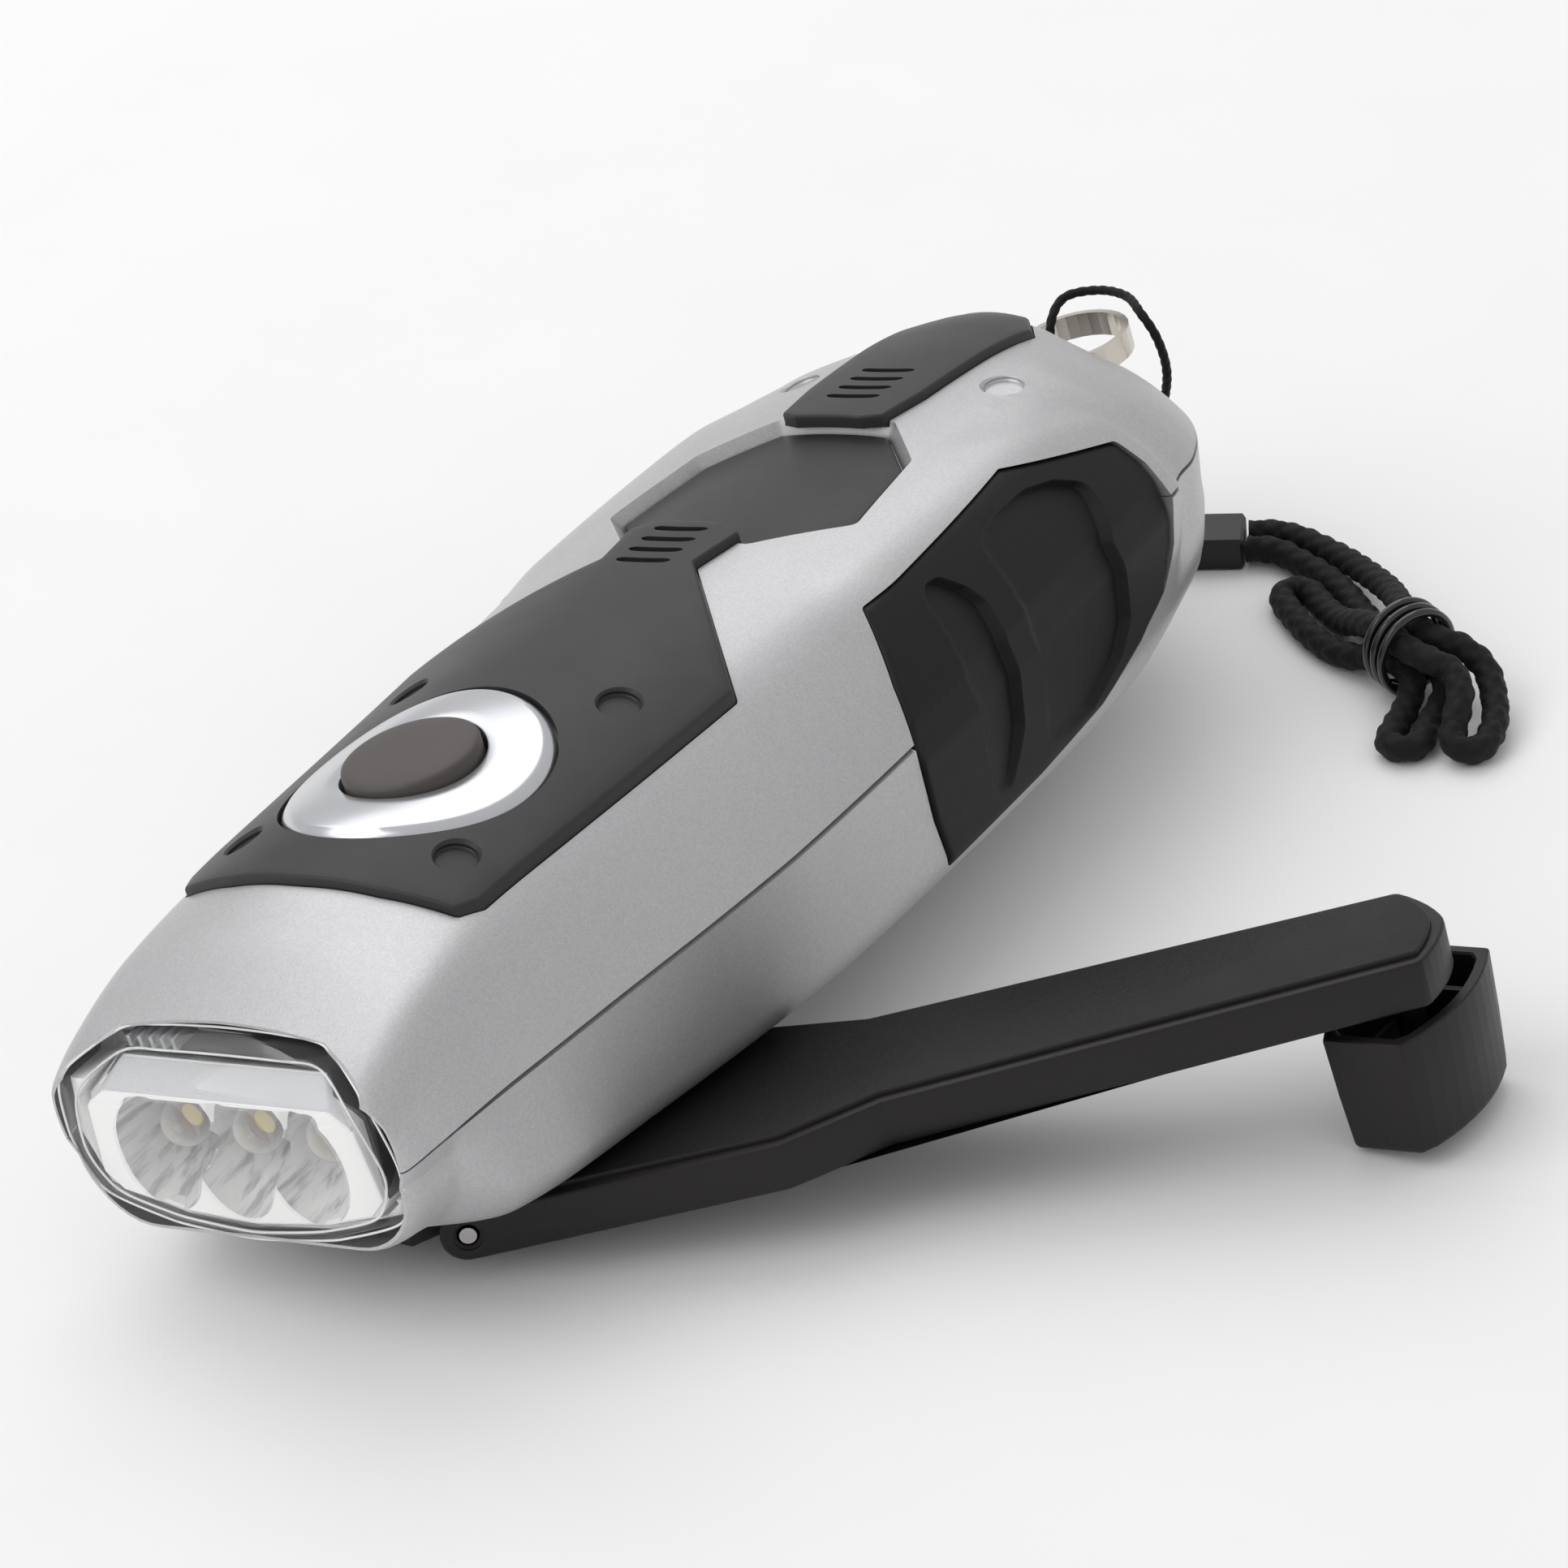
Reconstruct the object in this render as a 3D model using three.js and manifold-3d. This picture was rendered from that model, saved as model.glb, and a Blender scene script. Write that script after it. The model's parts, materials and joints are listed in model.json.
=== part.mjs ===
// Hand crank flashlight: two-part shell, generator with gear train, folding crank and wrist strap.
// The body frame has X across, Y from the lamp to the tail and Z up from the deck's datum.
// The whole object is tipped at the end so that it rests on its swung-out crank, as photographed.
import * as THREE from 'three';
import { mergeVertices } from 'three/addons/utils/BufferGeometryUtils.js';
import Module from 'manifold-3d';

const wasm = await Module();
wasm.setup();

// Clearances and cuts
const GAP = 0.3;
const OVERRUN = 2;
const MESH_WELD = 1e-4;

// Shell
const BODY_LENGTH = 146;
const BODY_WIDTH = 58;
const DECK_WIDTH = 40;
const DECK_SPAN = 16;
const PARTING_Z = -16;
const NOSE_Y = -26;
const SHELL_WALL = 2.2;
const SIDE_BULGE = 0.6;
const BELLY_CORNER = 3.4;
const WALL_LEAN = 0.8;
const UNDERSIDE_DEPTH = 13.7;
const UNDERSIDE_TILT = 2.3;
const NOSE_BEVEL_TOP_Y = -22.3;
const NOSE_BEVEL_TOP_Z = -5.6;
const NOSE_BEVEL_ANGLE = 48.7;
const LENS_DEPTH = 1.5;
const LENS_WALL = 1.2;
const LENS_INSET = 1.8;

// Deck inlays
const PANEL_PROUD = 0.9;
const PANEL_SUNK = 0.6;
const MID_PANEL_SUNK = 1.3;
const PANEL_FRONT_Y = -5;
const PANEL_FRONT_WIDTH = 33.5;
const PANEL_WIDTH = 38;
const PANEL_WIDEST_Y = 34.5;
const PANEL_NECK_Y = 50.5;
const PANEL_NECK_WIDTH = 11;
const PANEL_TIP_Y = 57;
const PANEL_TIP_WIDTH = 13;
const MID_PANEL_WIDTH = 27;
const MID_PANEL_FRONT_Y = 64.5;
const MID_PANEL_REAR_Y = 76.8;
const REAR_PANEL_Y = 83.4;
const REAR_PANEL_WIDTH = 15.5;
const SLOT_COUNT = 4;
const SLOT_LENGTH = 6.3;
const SLOT_WIDTH = 0.9;
const SLOT_DEPTH = 0.8;
const SLOT_PITCH = 2.2;
const FRONT_SLOTS_Y = 49.7;
const REAR_SLOTS_Y = 87.4;
const DIMPLE_RADIUS = 2;
const DIMPLE_DEPTH = 0.7;
const DIMPLE_X = 12.3;
const DIMPLE_Y = 26.75;
const TAIL_DIMPLE_Y = 95.7;

// Switch
const SWITCH_Y = 11.4;
const SWITCH_RADIUS = 13;
const SWITCH_RING_HEIGHT = 2;
const SWITCH_RING_PROUD = 0.6;
const BUTTON_RADIUS = 6.6;
const BUTTON_HEIGHT = 5;
const BUTTON_PROUD = 0.9;
const BUTTON_FLANGE = 1.2;
const BUTTON_TRAVEL = 0.8;
const SWITCH_PROUD = 1.192;
const TACT_SIZE = 6;
const TACT_HEIGHT = 3.2;
const BOARD_THICKNESS = 1.6;
const MAIN_BOARD_WIDTH = 26;
const MAIN_BOARD_LENGTH = 46;
const MAIN_BOARD_Y = 13;
const BOARD_POST_RADIUS = 1.6;

// Grips
const GRIP_PROUD = 0.4;
const GRIP_THICKNESS = 1.6;
const GRIP_GROOVE = 0.7;
const GRIP_LENGTH = 48;
const GRIP_HEIGHT = 24;
const GRIP_Y = 47;
const GRIP_Z = -29.8;

// Lamp
const LED_COUNT = 3;
const LED_PITCH = 8.4;
const LED_RADIUS = 2.5;
const LED_LENGTH = 8.6;
const LED_Z = -15.9;
const CAVITY_RADIUS = 4.2;
const CAVITY_FLOOR_RADIUS = 2.9;
const REFLECTOR_WIDTH = 33;
const REFLECTOR_HEIGHT = 11.6;
const REFLECTOR_DEPTH = 9;
const REFLECTOR_FRONT_Y = -25.6;
const LED_BOARD_WIDTH = 31;
const LED_BOARD_HEIGHT = 9;

// Crank, in the frame of the underside
const HUB_Y = -8;
const CRANK_SWING = 54;
const HUB_RADIUS = 9;
const HUB_DISC = 1.4;
const HUB_SHAFT_RADIUS = 3;
const HUB_BLOCK_BACK = 3.5;
const HUB_BLOCK_WIDTH = 16.4;
const HUB_BLOCK_NOSE = 12.2;
const HUB_BLOCK_DEPTH = 3.7;
const HUB_WIDEST = 0.7;
const PIN_OFFSET = 6;
const PIN_DEPTH = 3.1;
const PIN_RADIUS = 0.8;
const PIN_BORE = 1.1;
const KNUCKLE_RADIUS = 2.3;
const EAR_RADIUS = 2.5;
const EAR_WALL = 1.6;
const ARM_LENGTH = 91;
const ARM_WIDTH = 16.8;
const ARM_END_WIDTH = 14.4;
const ARM_WIDE = 23.4;
const ARM_EAR_WIDTH = 20.4;
const ARM_WIDE_END = 29;
const ARM_NARROW_START = 38.5;
const ARM_PLATE_START = 4.2;
const ARM_TOP = 0.4;
const ARM_STEP = 0.5;
const ARM_LEDGE = 1.2;
const ARM_HEIGHT = 4.6;
const ARM_WALL = 1.5;
const ARM_PLATE = 1.2;
const ARM_END_ROUND = 7;
const KNOB_REACH = 86.2;
const KNOB_GAP = 1.9;
const KNOB_HEIGHT = 11.7;
const KNOB_LENGTH = 17.8;
const KNOB_END_WIDTH = 8;
const KNOB_WIDTH = 12.2;
const KNOB_DRAFT = 0.5;
const KNOB_WALL = 1.3;
const KNOB_BORE = 1.7;
const KNOB_BOSS_RADIUS = 3;
const KNOB_POST_RADIUS = 1.4;
const KNOB_SCREW_HEAD = 2.4;
const KNOB_SCREW_HEAD_HEIGHT = 1.4;

// Gear train, standing on the underside's wall
const GEAR_MODULE = 0.8;
const WHEEL_TEETH = 27;
const PINION_TEETH = 9;
const TOOTH_DEPTH_SHARE = 0.95;
const TOOTH_ROOT_SHARE = 1.25;
const TOOTH_TIP_WIDTH_SHARE = 0.2;
const TOOTH_ROOT_WIDTH_SHARE = 0.5;
const GEAR_THICKNESS = 2;
const GEAR_STACK = 2.5;
const GEAR_FLOOR = 4.4;
const AXLE_RADIUS = 1;
const AXLE_BORE = 1.3;
const IDLER_1_ANGLE = 63.5;
const IDLER_2_ANGLE = 146;
const ROTOR_ANGLE = 90;
const GEAR_PLATE_THICKNESS = 1.4;
const GEAR_PLATE_MARGIN = 4;
const POST_RADIUS = 2.2;
const POST_SHARES = [[0.6, 2.45], [-0.99, 0.35]];
const PLATE_SCREW_RADIUS = 1;
const PLATE_SCREW_LENGTH = 4;
const PLATE_SCREW_HEAD = 2;
const ROTOR_RADIUS = 5.2;
const ROTOR_HEIGHT = 5;
const STATOR_INNER = 5.8;
const STATOR_OUTER = 9.6;
const STATOR_FLANGE = 0.6;
const COIL_INNER = 6.8;
const COIL_RADIUS = 9.2;

// Power
const CELL_COUNT = 3;
const CELL_RADIUS = 7.7;
const CELL_LENGTH = 6;
const CELL_GAP = 0.4;
const CELL_Y = 95;
const HOLDER_WALL = 1.2;

// Screws
const SHELL_SCREW_RADIUS = 1.3;
const SHELL_SCREW_HEAD = 2.6;
const SHELL_SCREW_LENGTH = 14;
const SHELL_SCREW_HEAD_HEIGHT = 1.6;
const SHELL_BOSS_RADIUS = 2.8;
const FRONT_SCREW_X = 19;
const FRONT_SCREW_Y = 24;
const REAR_SCREW_X = 17;
const REAR_SCREW_Y = 100;
const HEAD_HOLE = 3.1;
const HUB_SCREW_RADIUS = 1.2;
const HUB_SCREW_HEAD = 1.9;
const HUB_WASHER_RADIUS = 2.4;
const HUB_WASHER = 0.5;

// Strap
const RING_RADIUS = 6;
const RING_BAND = 0.7;
const RING_HEIGHT = 2.6;
const RING_X = 3.5;
const RING_Z = -13.3;
const LUG_PIN_RADIUS = 0.9;
const LUG_PIN_WALL = 2.4;
const LUG_SEAT = 0.9;
const CORD_DIAMETER = 2.9;
const CORD_STEPS = 130;
const THREAD_DIAMETER = 1;
const THREAD_STEPS = 38;
const TIE_DIAMETER = 0.9;
const TIE_TURNS = 3;
const TIE_TURN_STEPS = 18;
const FERRULE_LENGTH = 8;
const FERRULE_WIDTH = 6.2;
const FERRULE_HEIGHT = 3.6;
const FERRULE_CHAMFER = 0.7;

// Each row: place along the body, half width, half deck, crown height, deck edge height, belly depth,
// belly corner
const STATION_SHARES = [
  [-0.189, 0.600, 0.810, -0.512, -0.650, 0.57, 2.9],
  [-0.178, 0.672, 0.900, -0.406, -0.563, 0.69, 2.9],
  [-0.151, 0.693, 0.900, -0.306, -0.438, 0.76, 2.8],
  [-0.089, 0.728, 0.900, -0.094, -0.294, 0.98, 1.3],
  [-0.041, 0.766, 0.900, 0.019, -0.263, 1, 1.05],
  [0.014, 0.810, 0.900, 0.063, -0.250, 1, 1],
  [0.116, 0.897, 0.900, 0.063, -0.250, 1, 1],
  [0.192, 0.945, 0.905, 0.056, -0.250, 1, 1],
  [0.315, 0.976, 0.940, 0.025, -0.256, 1, 1.2],
  [0.411, 0.986, 1.000, -0.013, -0.275, 1, 1.35],
  [0.493, 0.993, 1.010, -0.063, -0.294, 1, 1.6],
  [0.575, 0.997, 1.000, -0.119, -0.319, 1, 2.05],
  [0.685, 0.966, 0.910, -0.213, -0.406, 0.89, 2.8],
  [0.719, 0.910, 0.810, -0.256, -0.463, 0.79, 2.8],
  [0.747, 0.821, 0.690, -0.300, -0.531, 0.69, 2.65],
  [0.771, 0.703, 0.560, -0.363, -0.600, 0.58, 2.35],
  [0.791, 0.545, 0.420, -0.475, -0.688, 0.45, 1.75],
  [0.807, 0.372, 0.280, -0.625, -0.800, 0.31, 1.2],
  [0.8165, 0.200, 0.150, -0.788, -0.900, 0.18, 1],
  [0.8195, 0.083, 0.060, -0.900, -0.950, 0.08, 1],
];
const DECK_STEPS = 3;
const CORNER_STEPS = 3;
const CAVITY_STATIONS = [1, 2, 3, 5, 7, 9, 11, 12, 13, 15, 16];
const CAVITY_CAP_SHARE = 0.35;

const rad = THREE.MathUtils.degToRad;
const underTilt = Math.tan(rad(UNDERSIDE_TILT));

// Materials
const paint = (color, roughness, metalness) =>
  new THREE.MeshStandardMaterial({ color, roughness, metalness });
const SILVER = paint(0xc4c5c9, 0.38, 0.7);
const GLOSS_BLACK = paint(0x2b292a, 0.3, 0.1);
const RUBBER = paint(0x211f1f, 0.85, 0);
const SATIN_BLACK = paint(0x2e2c2c, 0.5, 0);
const CLEAR = paint(0xe8edf0, 0.08, 0);
const MIRROR = paint(0xe6e6e6, 0.12, 0.9);
const WHITE = paint(0xf2f2ee, 0.4, 0);
const STEEL = paint(0xb9b7b0, 0.3, 1);
const BRASS = paint(0xc9bd93, 0.3, 1);
const NYLON = paint(0xe4e0d2, 0.5, 0);
const COPPER = paint(0xa85f32, 0.4, 0.9);
const MAGNET = paint(0x4c4a4b, 0.5, 0.6);
const BOARD = paint(0x2b6a3c, 0.6, 0.1);
const CORD = paint(0x1b191a, 0.95, 0);
const CELL = paint(0x9fb3a8, 0.35, 0.6);

// Booleans
function solidOf(geometry) {
  const bare = geometry.clone();
  bare.deleteAttribute('normal');
  bare.deleteAttribute('uv');
  const welded = mergeVertices(bare, MESH_WELD);
  return new wasm.Manifold(new wasm.Mesh({
    numProp: 3,
    vertProperties: new Float32Array(welded.attributes.position.array),
    triVerts: new Uint32Array(welded.index.array),
  }));
}

function geometryOf(solid) {
  const mesh = solid.getMesh();
  const geometry = new THREE.BufferGeometry();
  geometry.setAttribute('position', new THREE.BufferAttribute(mesh.vertProperties, 3));
  geometry.setIndex(new THREE.BufferAttribute(mesh.triVerts, 1));
  return geometry;
}

const join = (...solids) => solids.reduce((whole, next) => whole.add(next));
const cut = (solid, ...tools) => tools.reduce((whole, tool) => whole.subtract(tool), solid);

// Simple solids
function box(x0, x1, y0, y1, z0, z1) {
  const geometry = new THREE.BoxGeometry(x1 - x0, y1 - y0, z1 - z0);
  geometry.translate((x0 + x1) / 2, (y0 + y1) / 2, (z0 + z1) / 2);
  return solidOf(geometry);
}

// An upright cylinder or cone, from z0 with radius r0 to z1 with radius r1
function post(x, y, z0, z1, r0, r1 = r0, sides = 16) {
  const geometry = new THREE.CylinderGeometry(r1, r0, z1 - z0, sides);
  geometry.rotateX(Math.PI / 2);
  geometry.translate(x, y, (z0 + z1) / 2);
  return solidOf(geometry);
}

// A turned body, each row with its height and radius
function turned(x, y, rows, sides) {
  return loft(rows.map(([z, radius]) => Array.from({ length: sides }, (_, i) => {
    const angle = 2 * Math.PI * i / sides;
    return new THREE.Vector3(x + radius * Math.cos(angle), y + radius * Math.sin(angle), z);
  })));
}

// A bar along X from x0 to x1
function barX(x0, x1, y, z, radius, sides = 20) {
  const geometry = new THREE.CylinderGeometry(radius, radius, x1 - x0, sides);
  geometry.rotateZ(Math.PI / 2);
  geometry.translate((x0 + x1) / 2, y, z);
  return solidOf(geometry);
}

// A bar along Y from y0 to y1, or a cone with another radius at y1
function barY(y0, y1, x, z, r0, r1 = r0, sides = 14) {
  const geometry = new THREE.CylinderGeometry(r1, r0, y1 - y0, sides);
  geometry.translate(x, (y0 + y1) / 2, z);
  return solidOf(geometry);
}

// An outline in X and Y, upright from z0 to z1
function prism(outline, z0, z1) {
  const shape = new THREE.Shape(outline.map(([x, y]) => new THREE.Vector2(x, y)));
  const geometry = new THREE.ExtrudeGeometry(shape, { depth: z1 - z0, bevelEnabled: false });
  geometry.translate(0, 0, z0);
  return solidOf(geometry);
}

// An outline in Y and Z, run along X from x0 to x1
function prismX(outline, x0, x1) {
  const shape = new THREE.Shape(outline.map(([y, z]) => new THREE.Vector2(y, z)));
  const geometry = new THREE.ExtrudeGeometry(shape, { depth: x1 - x0, bevelEnabled: false });
  const turn = new THREE.Matrix4().makeBasis(
    new THREE.Vector3(0, 1, 0), new THREE.Vector3(0, 0, 1), new THREE.Vector3(1, 0, 0));
  geometry.applyMatrix4(turn);
  geometry.translate(x0, 0, 0);
  return solidOf(geometry);
}

// The outline pushed outwards by an even margin, corners kept sharp
function grown(outline, margin) {
  const area = THREE.ShapeUtils.area(outline.map(([x, y]) => new THREE.Vector2(x, y)));
  const side = Math.sign(area);
  return outline.map((point, i) => {
    const before = outline[(i + outline.length - 1) % outline.length];
    const after = outline[(i + 1) % outline.length];
    const a = new THREE.Vector2(point[0] - before[0], point[1] - before[1]).normalize();
    const b = new THREE.Vector2(after[0] - point[0], after[1] - point[1]).normalize();
    const normal = new THREE.Vector2(a.y + b.y, -(a.x + b.x)).normalize();
    const reach = margin / Math.max(normal.dot(new THREE.Vector2(a.y, -a.x)), 0.5);
    return [point[0] + side * normal.x * reach, point[1] + side * normal.y * reach];
  });
}

const mirrored = (outline) => [...outline, ...outline.slice().reverse().map(([x, y]) => [-x, y])];

// A closed body through rings of equal counts of points
function loft(rings) {
  const count = rings[0].length;
  const vertices = rings.flat().flatMap((point) => [point.x, point.y, point.z]);
  const index = [];
  for (let ring = 0; ring + 1 < rings.length; ring += 1) {
    for (let i = 0; i < count; i += 1) {
      const a = ring * count + i;
      const b = ring * count + (i + 1) % count;
      index.push(a, b, a + count, b, b + count, a + count);
    }
  }
  const last = (rings.length - 1) * count;
  for (let i = 1; i + 1 < count; i += 1) {
    index.push(0, i + 1, i);
    index.push(last, last + i, last + i + 1);
  }
  const geometry = new THREE.BufferGeometry();
  geometry.setAttribute('position', new THREE.Float32BufferAttribute(vertices, 3));
  geometry.setIndex(index);
  return solidOf(geometry);
}

// Body sections
function station(row) {
  const [along, width, deck, crown, edge, belly, corner] = row;
  const y = along * BODY_LENGTH;
  const depth = UNDERSIDE_DEPTH + (y - HUB_Y) * underTilt;
  return {
    y,
    half: width * BODY_WIDTH / 2,
    deck: deck * DECK_WIDTH / 2,
    crown: PARTING_Z + (crown + 1) * DECK_SPAN,
    edge: PARTING_Z + (edge + 1) * DECK_SPAN,
    belly: PARTING_Z - belly * depth,
    corner: corner * BELLY_CORNER,
  };
}

function sectionRing(section, inset) {
  const half = section.half - inset;
  const deck = Math.min(section.deck - inset * 0.6, half);
  const crown = section.crown - inset;
  const edge = section.edge - inset;
  const belly = section.belly + inset;
  const room = PARTING_Z - belly;
  const corner = Math.min(section.corner - inset, room * 0.8, half * 0.6);
  const lean = Math.min(WALL_LEAN, half * 0.1);
  const right = [];
  for (let step = 0; step <= DECK_STEPS; step += 1) {
    const t = step / DECK_STEPS;
    right.push([deck * t, crown - (crown - edge) * t * t]);
  }
  const bulge = Math.min(SIDE_BULGE, half * 0.05);
  right.push([(deck + half) / 2 + bulge, (edge + PARTING_Z) / 2 + bulge]);
  right.push([half, PARTING_Z]);
  for (let step = 0; step <= CORNER_STEPS; step += 1) {
    const turn = step / CORNER_STEPS * Math.PI / 2;
    right.push([half - lean - corner + corner * Math.cos(turn),
      belly + corner - corner * Math.sin(turn)]);
  }
  right.push([0, belly]);
  const left = right.slice(1, -1).reverse().map(([x, z]) => [-x, z]);
  return [...right, ...left].map(([x, z]) => new THREE.Vector3(x, section.y, z));
}

const sections = STATION_SHARES.map(station);
const hull = (inset) => loft(sections.map((section) => sectionRing(section, inset)));

// The nose is cut by an upright plane and a sloped one; a lens depth of zero gives the shell's edge
function noseCut(forward) {
  const slope = rad(NOSE_BEVEL_ANGLE);
  const nose = box(-BODY_WIDTH, BODY_WIDTH, -BODY_WIDTH, NOSE_Y - forward, -BODY_WIDTH, BODY_WIDTH);
  const wedge = new THREE.BoxGeometry(BODY_WIDTH, BODY_WIDTH, BODY_WIDTH);
  wedge.translate(0, -BODY_WIDTH / 2 - forward, 0);
  wedge.rotateX(-slope);
  wedge.translate(0, NOSE_BEVEL_TOP_Y, NOSE_BEVEL_TOP_Z);
  return nose.add(solidOf(wedge));
}

// The hollow inside the shells, open at the nose
function cavity() {
  const inner = CAVITY_STATIONS.map((i) => sectionRing(sections[i], SHELL_WALL));
  const front = inner[0].map((point) => point.clone().setY(point.y - OVERRUN));
  const lastRing = inner[inner.length - 1];
  const middle = new THREE.Vector3(0, lastRing[0].y + SHELL_WALL, PARTING_Z);
  const cap = lastRing.map((point) => point.clone().lerp(middle, CAVITY_CAP_SHARE));
  return loft([front, ...inner, cap]);
}

// Outlines of the deck inlays, right half from the front
const frontPanelOutline = mirrored([
  [0.02 * PANEL_WIDTH, PANEL_FRONT_Y - 0.06 * PANEL_WIDTH],
  [0.22 * PANEL_WIDTH, PANEL_FRONT_Y - 0.05 * PANEL_WIDTH],
  [PANEL_FRONT_WIDTH / 2 - 0.03 * PANEL_WIDTH, PANEL_FRONT_Y - 0.02 * PANEL_WIDTH],
  [PANEL_FRONT_WIDTH / 2, PANEL_FRONT_Y + 0.04 * PANEL_WIDTH],
  [PANEL_WIDTH / 2, PANEL_WIDEST_Y],
  [PANEL_NECK_WIDTH / 2, PANEL_NECK_Y],
  [PANEL_TIP_WIDTH / 2, PANEL_TIP_Y],
  [0.3 * PANEL_TIP_WIDTH, PANEL_TIP_Y + 0.1 * PANEL_TIP_WIDTH],
]);
const midPanelOutline = mirrored([
  [0.3 * PANEL_TIP_WIDTH, PANEL_TIP_Y + GAP + 0.13 * PANEL_TIP_WIDTH],
  [PANEL_TIP_WIDTH / 2 + GAP, PANEL_TIP_Y + GAP],
  [MID_PANEL_WIDTH / 2, MID_PANEL_FRONT_Y],
  [0.88 * MID_PANEL_WIDTH / 2, MID_PANEL_REAR_Y],
  [0.47 * MID_PANEL_WIDTH / 2, REAR_PANEL_Y - GAP],
]);
const rearPanelOutline = mirrored([
  [0.3 * PANEL_TIP_WIDTH, REAR_PANEL_Y - 0.05 * PANEL_TIP_WIDTH],
  [0.47 * PANEL_TIP_WIDTH, REAR_PANEL_Y + GAP],
  [0.45 * REAR_PANEL_WIDTH, REAR_PANEL_Y + 0.4 * REAR_PANEL_WIDTH],
  [REAR_PANEL_WIDTH / 2, BODY_LENGTH * 0.745],
  [0.3 * REAR_PANEL_WIDTH, BODY_LENGTH * 0.775],
]);

function slots(firstY, deckZ) {
  const bars = [];
  for (let i = 0; i < SLOT_COUNT; i += 1) {
    const y = firstY + i * SLOT_PITCH;
    bars.push(box(-SLOT_LENGTH / 2, SLOT_LENGTH / 2, y - SLOT_WIDTH / 2, y + SLOT_WIDTH / 2,
      deckZ - SLOT_DEPTH, deckZ + OVERRUN));
  }
  return join(...bars);
}

// Height of the deck at a place along the body
function crownAt(y) {
  const after = sections.findIndex((section) => section.y > y);
  const a = sections[after - 1];
  const b = sections[after];
  return THREE.MathUtils.lerp(a.crown, b.crown, (y - a.y) / (b.y - a.y));
}

function dimples(y, topZ) {
  return join(post(DIMPLE_X, y, topZ - DIMPLE_DEPTH, topZ + OVERRUN * 2, DIMPLE_RADIUS),
    post(-DIMPLE_X, y, topZ - DIMPLE_DEPTH, topZ + OVERRUN * 2, DIMPLE_RADIUS));
}

// Grips: the outline in Y and Z, as shares of the grip's length and height
const GRIP_SHARES = [
  [0.02, 0], [0.58, 0], [0.77, 0.1], [0.89, 0.19], [0.97, 0.35], [1, 0.52], [0.995, 0.66],
  [0.96, 0.82], [0.69, 1], [0.14, 0.99], [0.06, 0.78], [0, 0.57],
];
const gripOutline = GRIP_SHARES.map(([along, up]) =>
  [GRIP_Y + along * GRIP_LENGTH, GRIP_Z + up * GRIP_HEIGHT]);
const GRIP_GROOVE_SHARES = [
  [[0.2, 0.16], [0.29, 0.5], [0.25, 0.72], [0.17, 0.8], [0.2, 0.86], [0.31, 0.8], [0.36, 0.5],
    [0.28, 0.16]],
  [[0.4, 0.14], [0.54, 0.5], [0.42, 0.8], [0.5, 0.9], [0.74, 0.86], [0.8, 0.52], [0.72, 0.14],
    [0.66, 0.16], [0.73, 0.52], [0.68, 0.79], [0.52, 0.82], [0.61, 0.5], [0.46, 0.13]],
];

const outer = hull(0);
const inner = cavity();
const panelTop = hull(-PANEL_PROUD);
const panelBed = hull(PANEL_SUNK);
const switchTopZ = crownAt(SWITCH_Y) + SWITCH_PROUD;
const panelPocket = hull(PANEL_SUNK + GAP);
const midTop = hull(MID_PANEL_SUNK);
const midBed = hull(MID_PANEL_SUNK + PANEL_SUNK);
const midPocket = hull(MID_PANEL_SUNK + PANEL_SUNK + GAP);
const deckRange = [PARTING_Z * 0.7, DECK_SPAN];
const gripTop = hull(-GRIP_PROUD);
const gripBed = hull(GRIP_THICKNESS - GRIP_PROUD);
const gripPocket = hull(GRIP_THICKNESS - GRIP_PROUD + GAP);

// Frame of the underside: origin under the hub, Z up along the crank's axis
const underside = new THREE.Group();
underside.position.set(0, HUB_Y, PARTING_Z - UNDERSIDE_DEPTH);
underside.rotation.x = -rad(UNDERSIDE_TILT);
underside.updateMatrix();
const toBody = (solid) => solid.transform(underside.matrix.toArray());

// Places of the gears in that frame
const meshDistance = GEAR_MODULE * (WHEEL_TEETH + PINION_TEETH) / 2;
function meshedWith([x, y], angle) {
  return [x + meshDistance * Math.cos(rad(angle)), y + meshDistance * Math.sin(rad(angle))];
}
const crankPlace = [0, 0];
const idler1Place = meshedWith(crankPlace, IDLER_1_ANGLE);
const idler2Place = meshedWith(idler1Place, IDLER_2_ANGLE);
const rotorPlace = meshedWith(idler2Place, ROTOR_ANGLE);
const gearZ = (level) => GEAR_FLOOR + level * GEAR_STACK;
const plateZ = gearZ(3) + GAP;
const platePosts = POST_SHARES.map(([x, y]) => [x * meshDistance, y * meshDistance]);

// Pocket under the body that takes the knob when the crank is stowed
const knobPocketY = KNOB_REACH - PIN_OFFSET;
const knobPocketTop = KNOB_HEIGHT + GAP * 7;
function knobOutline(margin, centreY = 0) {
  return mirrored([
    [KNOB_END_WIDTH / 2 + margin, centreY - KNOB_LENGTH / 2 - margin],
    [KNOB_WIDTH * 0.46 + margin, centreY - KNOB_LENGTH * 0.22],
    [KNOB_WIDTH / 2 + margin, centreY],
    [KNOB_WIDTH * 0.46 + margin, centreY + KNOB_LENGTH * 0.22],
    [KNOB_END_WIDTH / 2 + margin, centreY + KNOB_LENGTH / 2 + margin],
  ]);
}

// Shell screws run up from below through posts in the lower shell
const shellScrewPlaces = [
  [FRONT_SCREW_X, FRONT_SCREW_Y], [-FRONT_SCREW_X, FRONT_SCREW_Y],
  [REAR_SCREW_X, REAR_SCREW_Y], [-REAR_SCREW_X, REAR_SCREW_Y],
];
const bellyAt = (y) => PARTING_Z - UNDERSIDE_DEPTH - (y - HUB_Y) * underTilt;

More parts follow.
